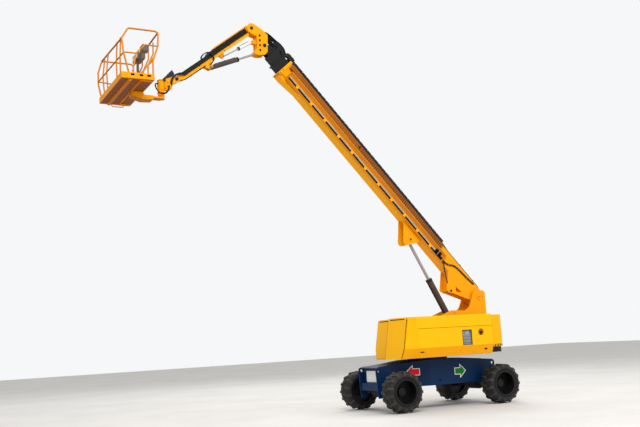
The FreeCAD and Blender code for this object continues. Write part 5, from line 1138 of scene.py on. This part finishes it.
STOP = (7.235, 0.005)
piece = Piece("console_stop_button", "platform", "knob_red")
upright(*STOP, 0, 0.014, 0.011, 20)
upright(*STOP, 0.01, 0.024, 0.022, 28, 0.004)
piece.done()
piece = Piece("console_stop_plate", "platform", "lamp")
upright(*STOP, 0, 0.002, 0.032, 32)
piece.done()
piece = Piece("console_cover", "platform", "plastic")
piece.plate([(7.152, TOP), (7.205, TOP), (7.18, TOP + 0.125), (7.152, TOP + 0.135)], -0.275, 0.145, 0.006)
piece.done()
piece = Piece("tool_box_lid", "platform", "plastic")
piece.box((7.206, 0.456, 8.4395), (7.354, 0.664, 8.458), 0.004)
piece.box((7.35, 0.53, 8.405), (7.357, 0.59, 8.44), 0.003)
piece.done()


# Camera at the photograph's viewing angle.
CAMERA_AT = (12.313, 18.143, 1.758)
YAW, PITCH, ROLL = -0.4814, 0.1507, -0.0565
forward = Vector((math.sin(YAW) * math.cos(PITCH), -math.cos(YAW) * math.cos(PITCH), math.sin(PITCH)))
right = forward.cross(Vector((0, 0, 1))).normalized()
up = right.cross(forward)
side_way = right * math.cos(ROLL) + up * math.sin(ROLL)
up_way = -right * math.sin(ROLL) + up * math.cos(ROLL)
camera_data = bpy.data.cameras.new("camera")
camera_data.sensor_width = 36.0
camera_data.lens = 47.42
camera_data.clip_end = 500
camera = placed("camera", camera_data)
turn = Matrix((side_way, up_way, -forward)).transposed().to_4x4()
camera.matrix_world = Matrix.Translation(CAMERA_AT) @ turn
bpy.context.scene.camera = camera

# Pale floor and soft studio light.
paint = Shader("floor_pale")
pale = paint.mix(paint.span(paint.noise(0.4, 5), 0.3, 0.7), colour(214, 212, 208), colour(226, 224, 220))
paint.surface({"Base Color": pale, "Roughness": 0.85})
bm = bmesh.new()
bmesh.ops.create_grid(bm, x_segments=1, y_segments=1, size=60)
floor = placed_mesh("floor", bm, paint.material)
floor.location = (0, 0, -0.001)


def softbox(name, at, target, size, power):
    data = bpy.data.lights.new(name, "AREA")
    data.shape = "RECTANGLE"
    data.size, data.size_y = size
    data.energy = power
    item = placed(name, data)
    item.location = at
    item.rotation_euler = (Vector(target) - Vector(at)).to_track_quat("-Z", "Y").to_euler()


softbox("key", (9, 17, 20), (1.5, 0, 3), (12, 12), 3300)
softbox("fill", (-12, 12, 10), (0, 0, 3), (12, 10), 800)
softbox("back", (-4, -14, 16), (2, 0, 4), (14, 10), 1500)

# The camera sees a paler background than the one that lights the machine.
world = bpy.context.scene.world or bpy.data.worlds.new("world")
bpy.context.scene.world = world
world.use_nodes = True
nodes, links = world.node_tree.nodes, world.node_tree.links
backdrop = nodes["Background"]
backdrop.inputs["Color"].default_value = (0.92, 0.92, 0.92, 1)
backdrop.inputs["Strength"].default_value = 0.75
seen = nodes.new("ShaderNodeBackground")
seen.inputs["Color"].default_value = (0.92, 0.93, 0.94, 1)
path = nodes.new("ShaderNodeLightPath")
choose = nodes.new("ShaderNodeMixShader")
links.new(path.outputs["Is Camera Ray"], choose.inputs[0])
links.new(backdrop.outputs[0], choose.inputs[1])
links.new(seen.outputs[0], choose.inputs[2])
links.new(choose.outputs[0], nodes["World Output"].inputs["Surface"])
bpy.context.scene.view_settings.view_transform = "Standard"
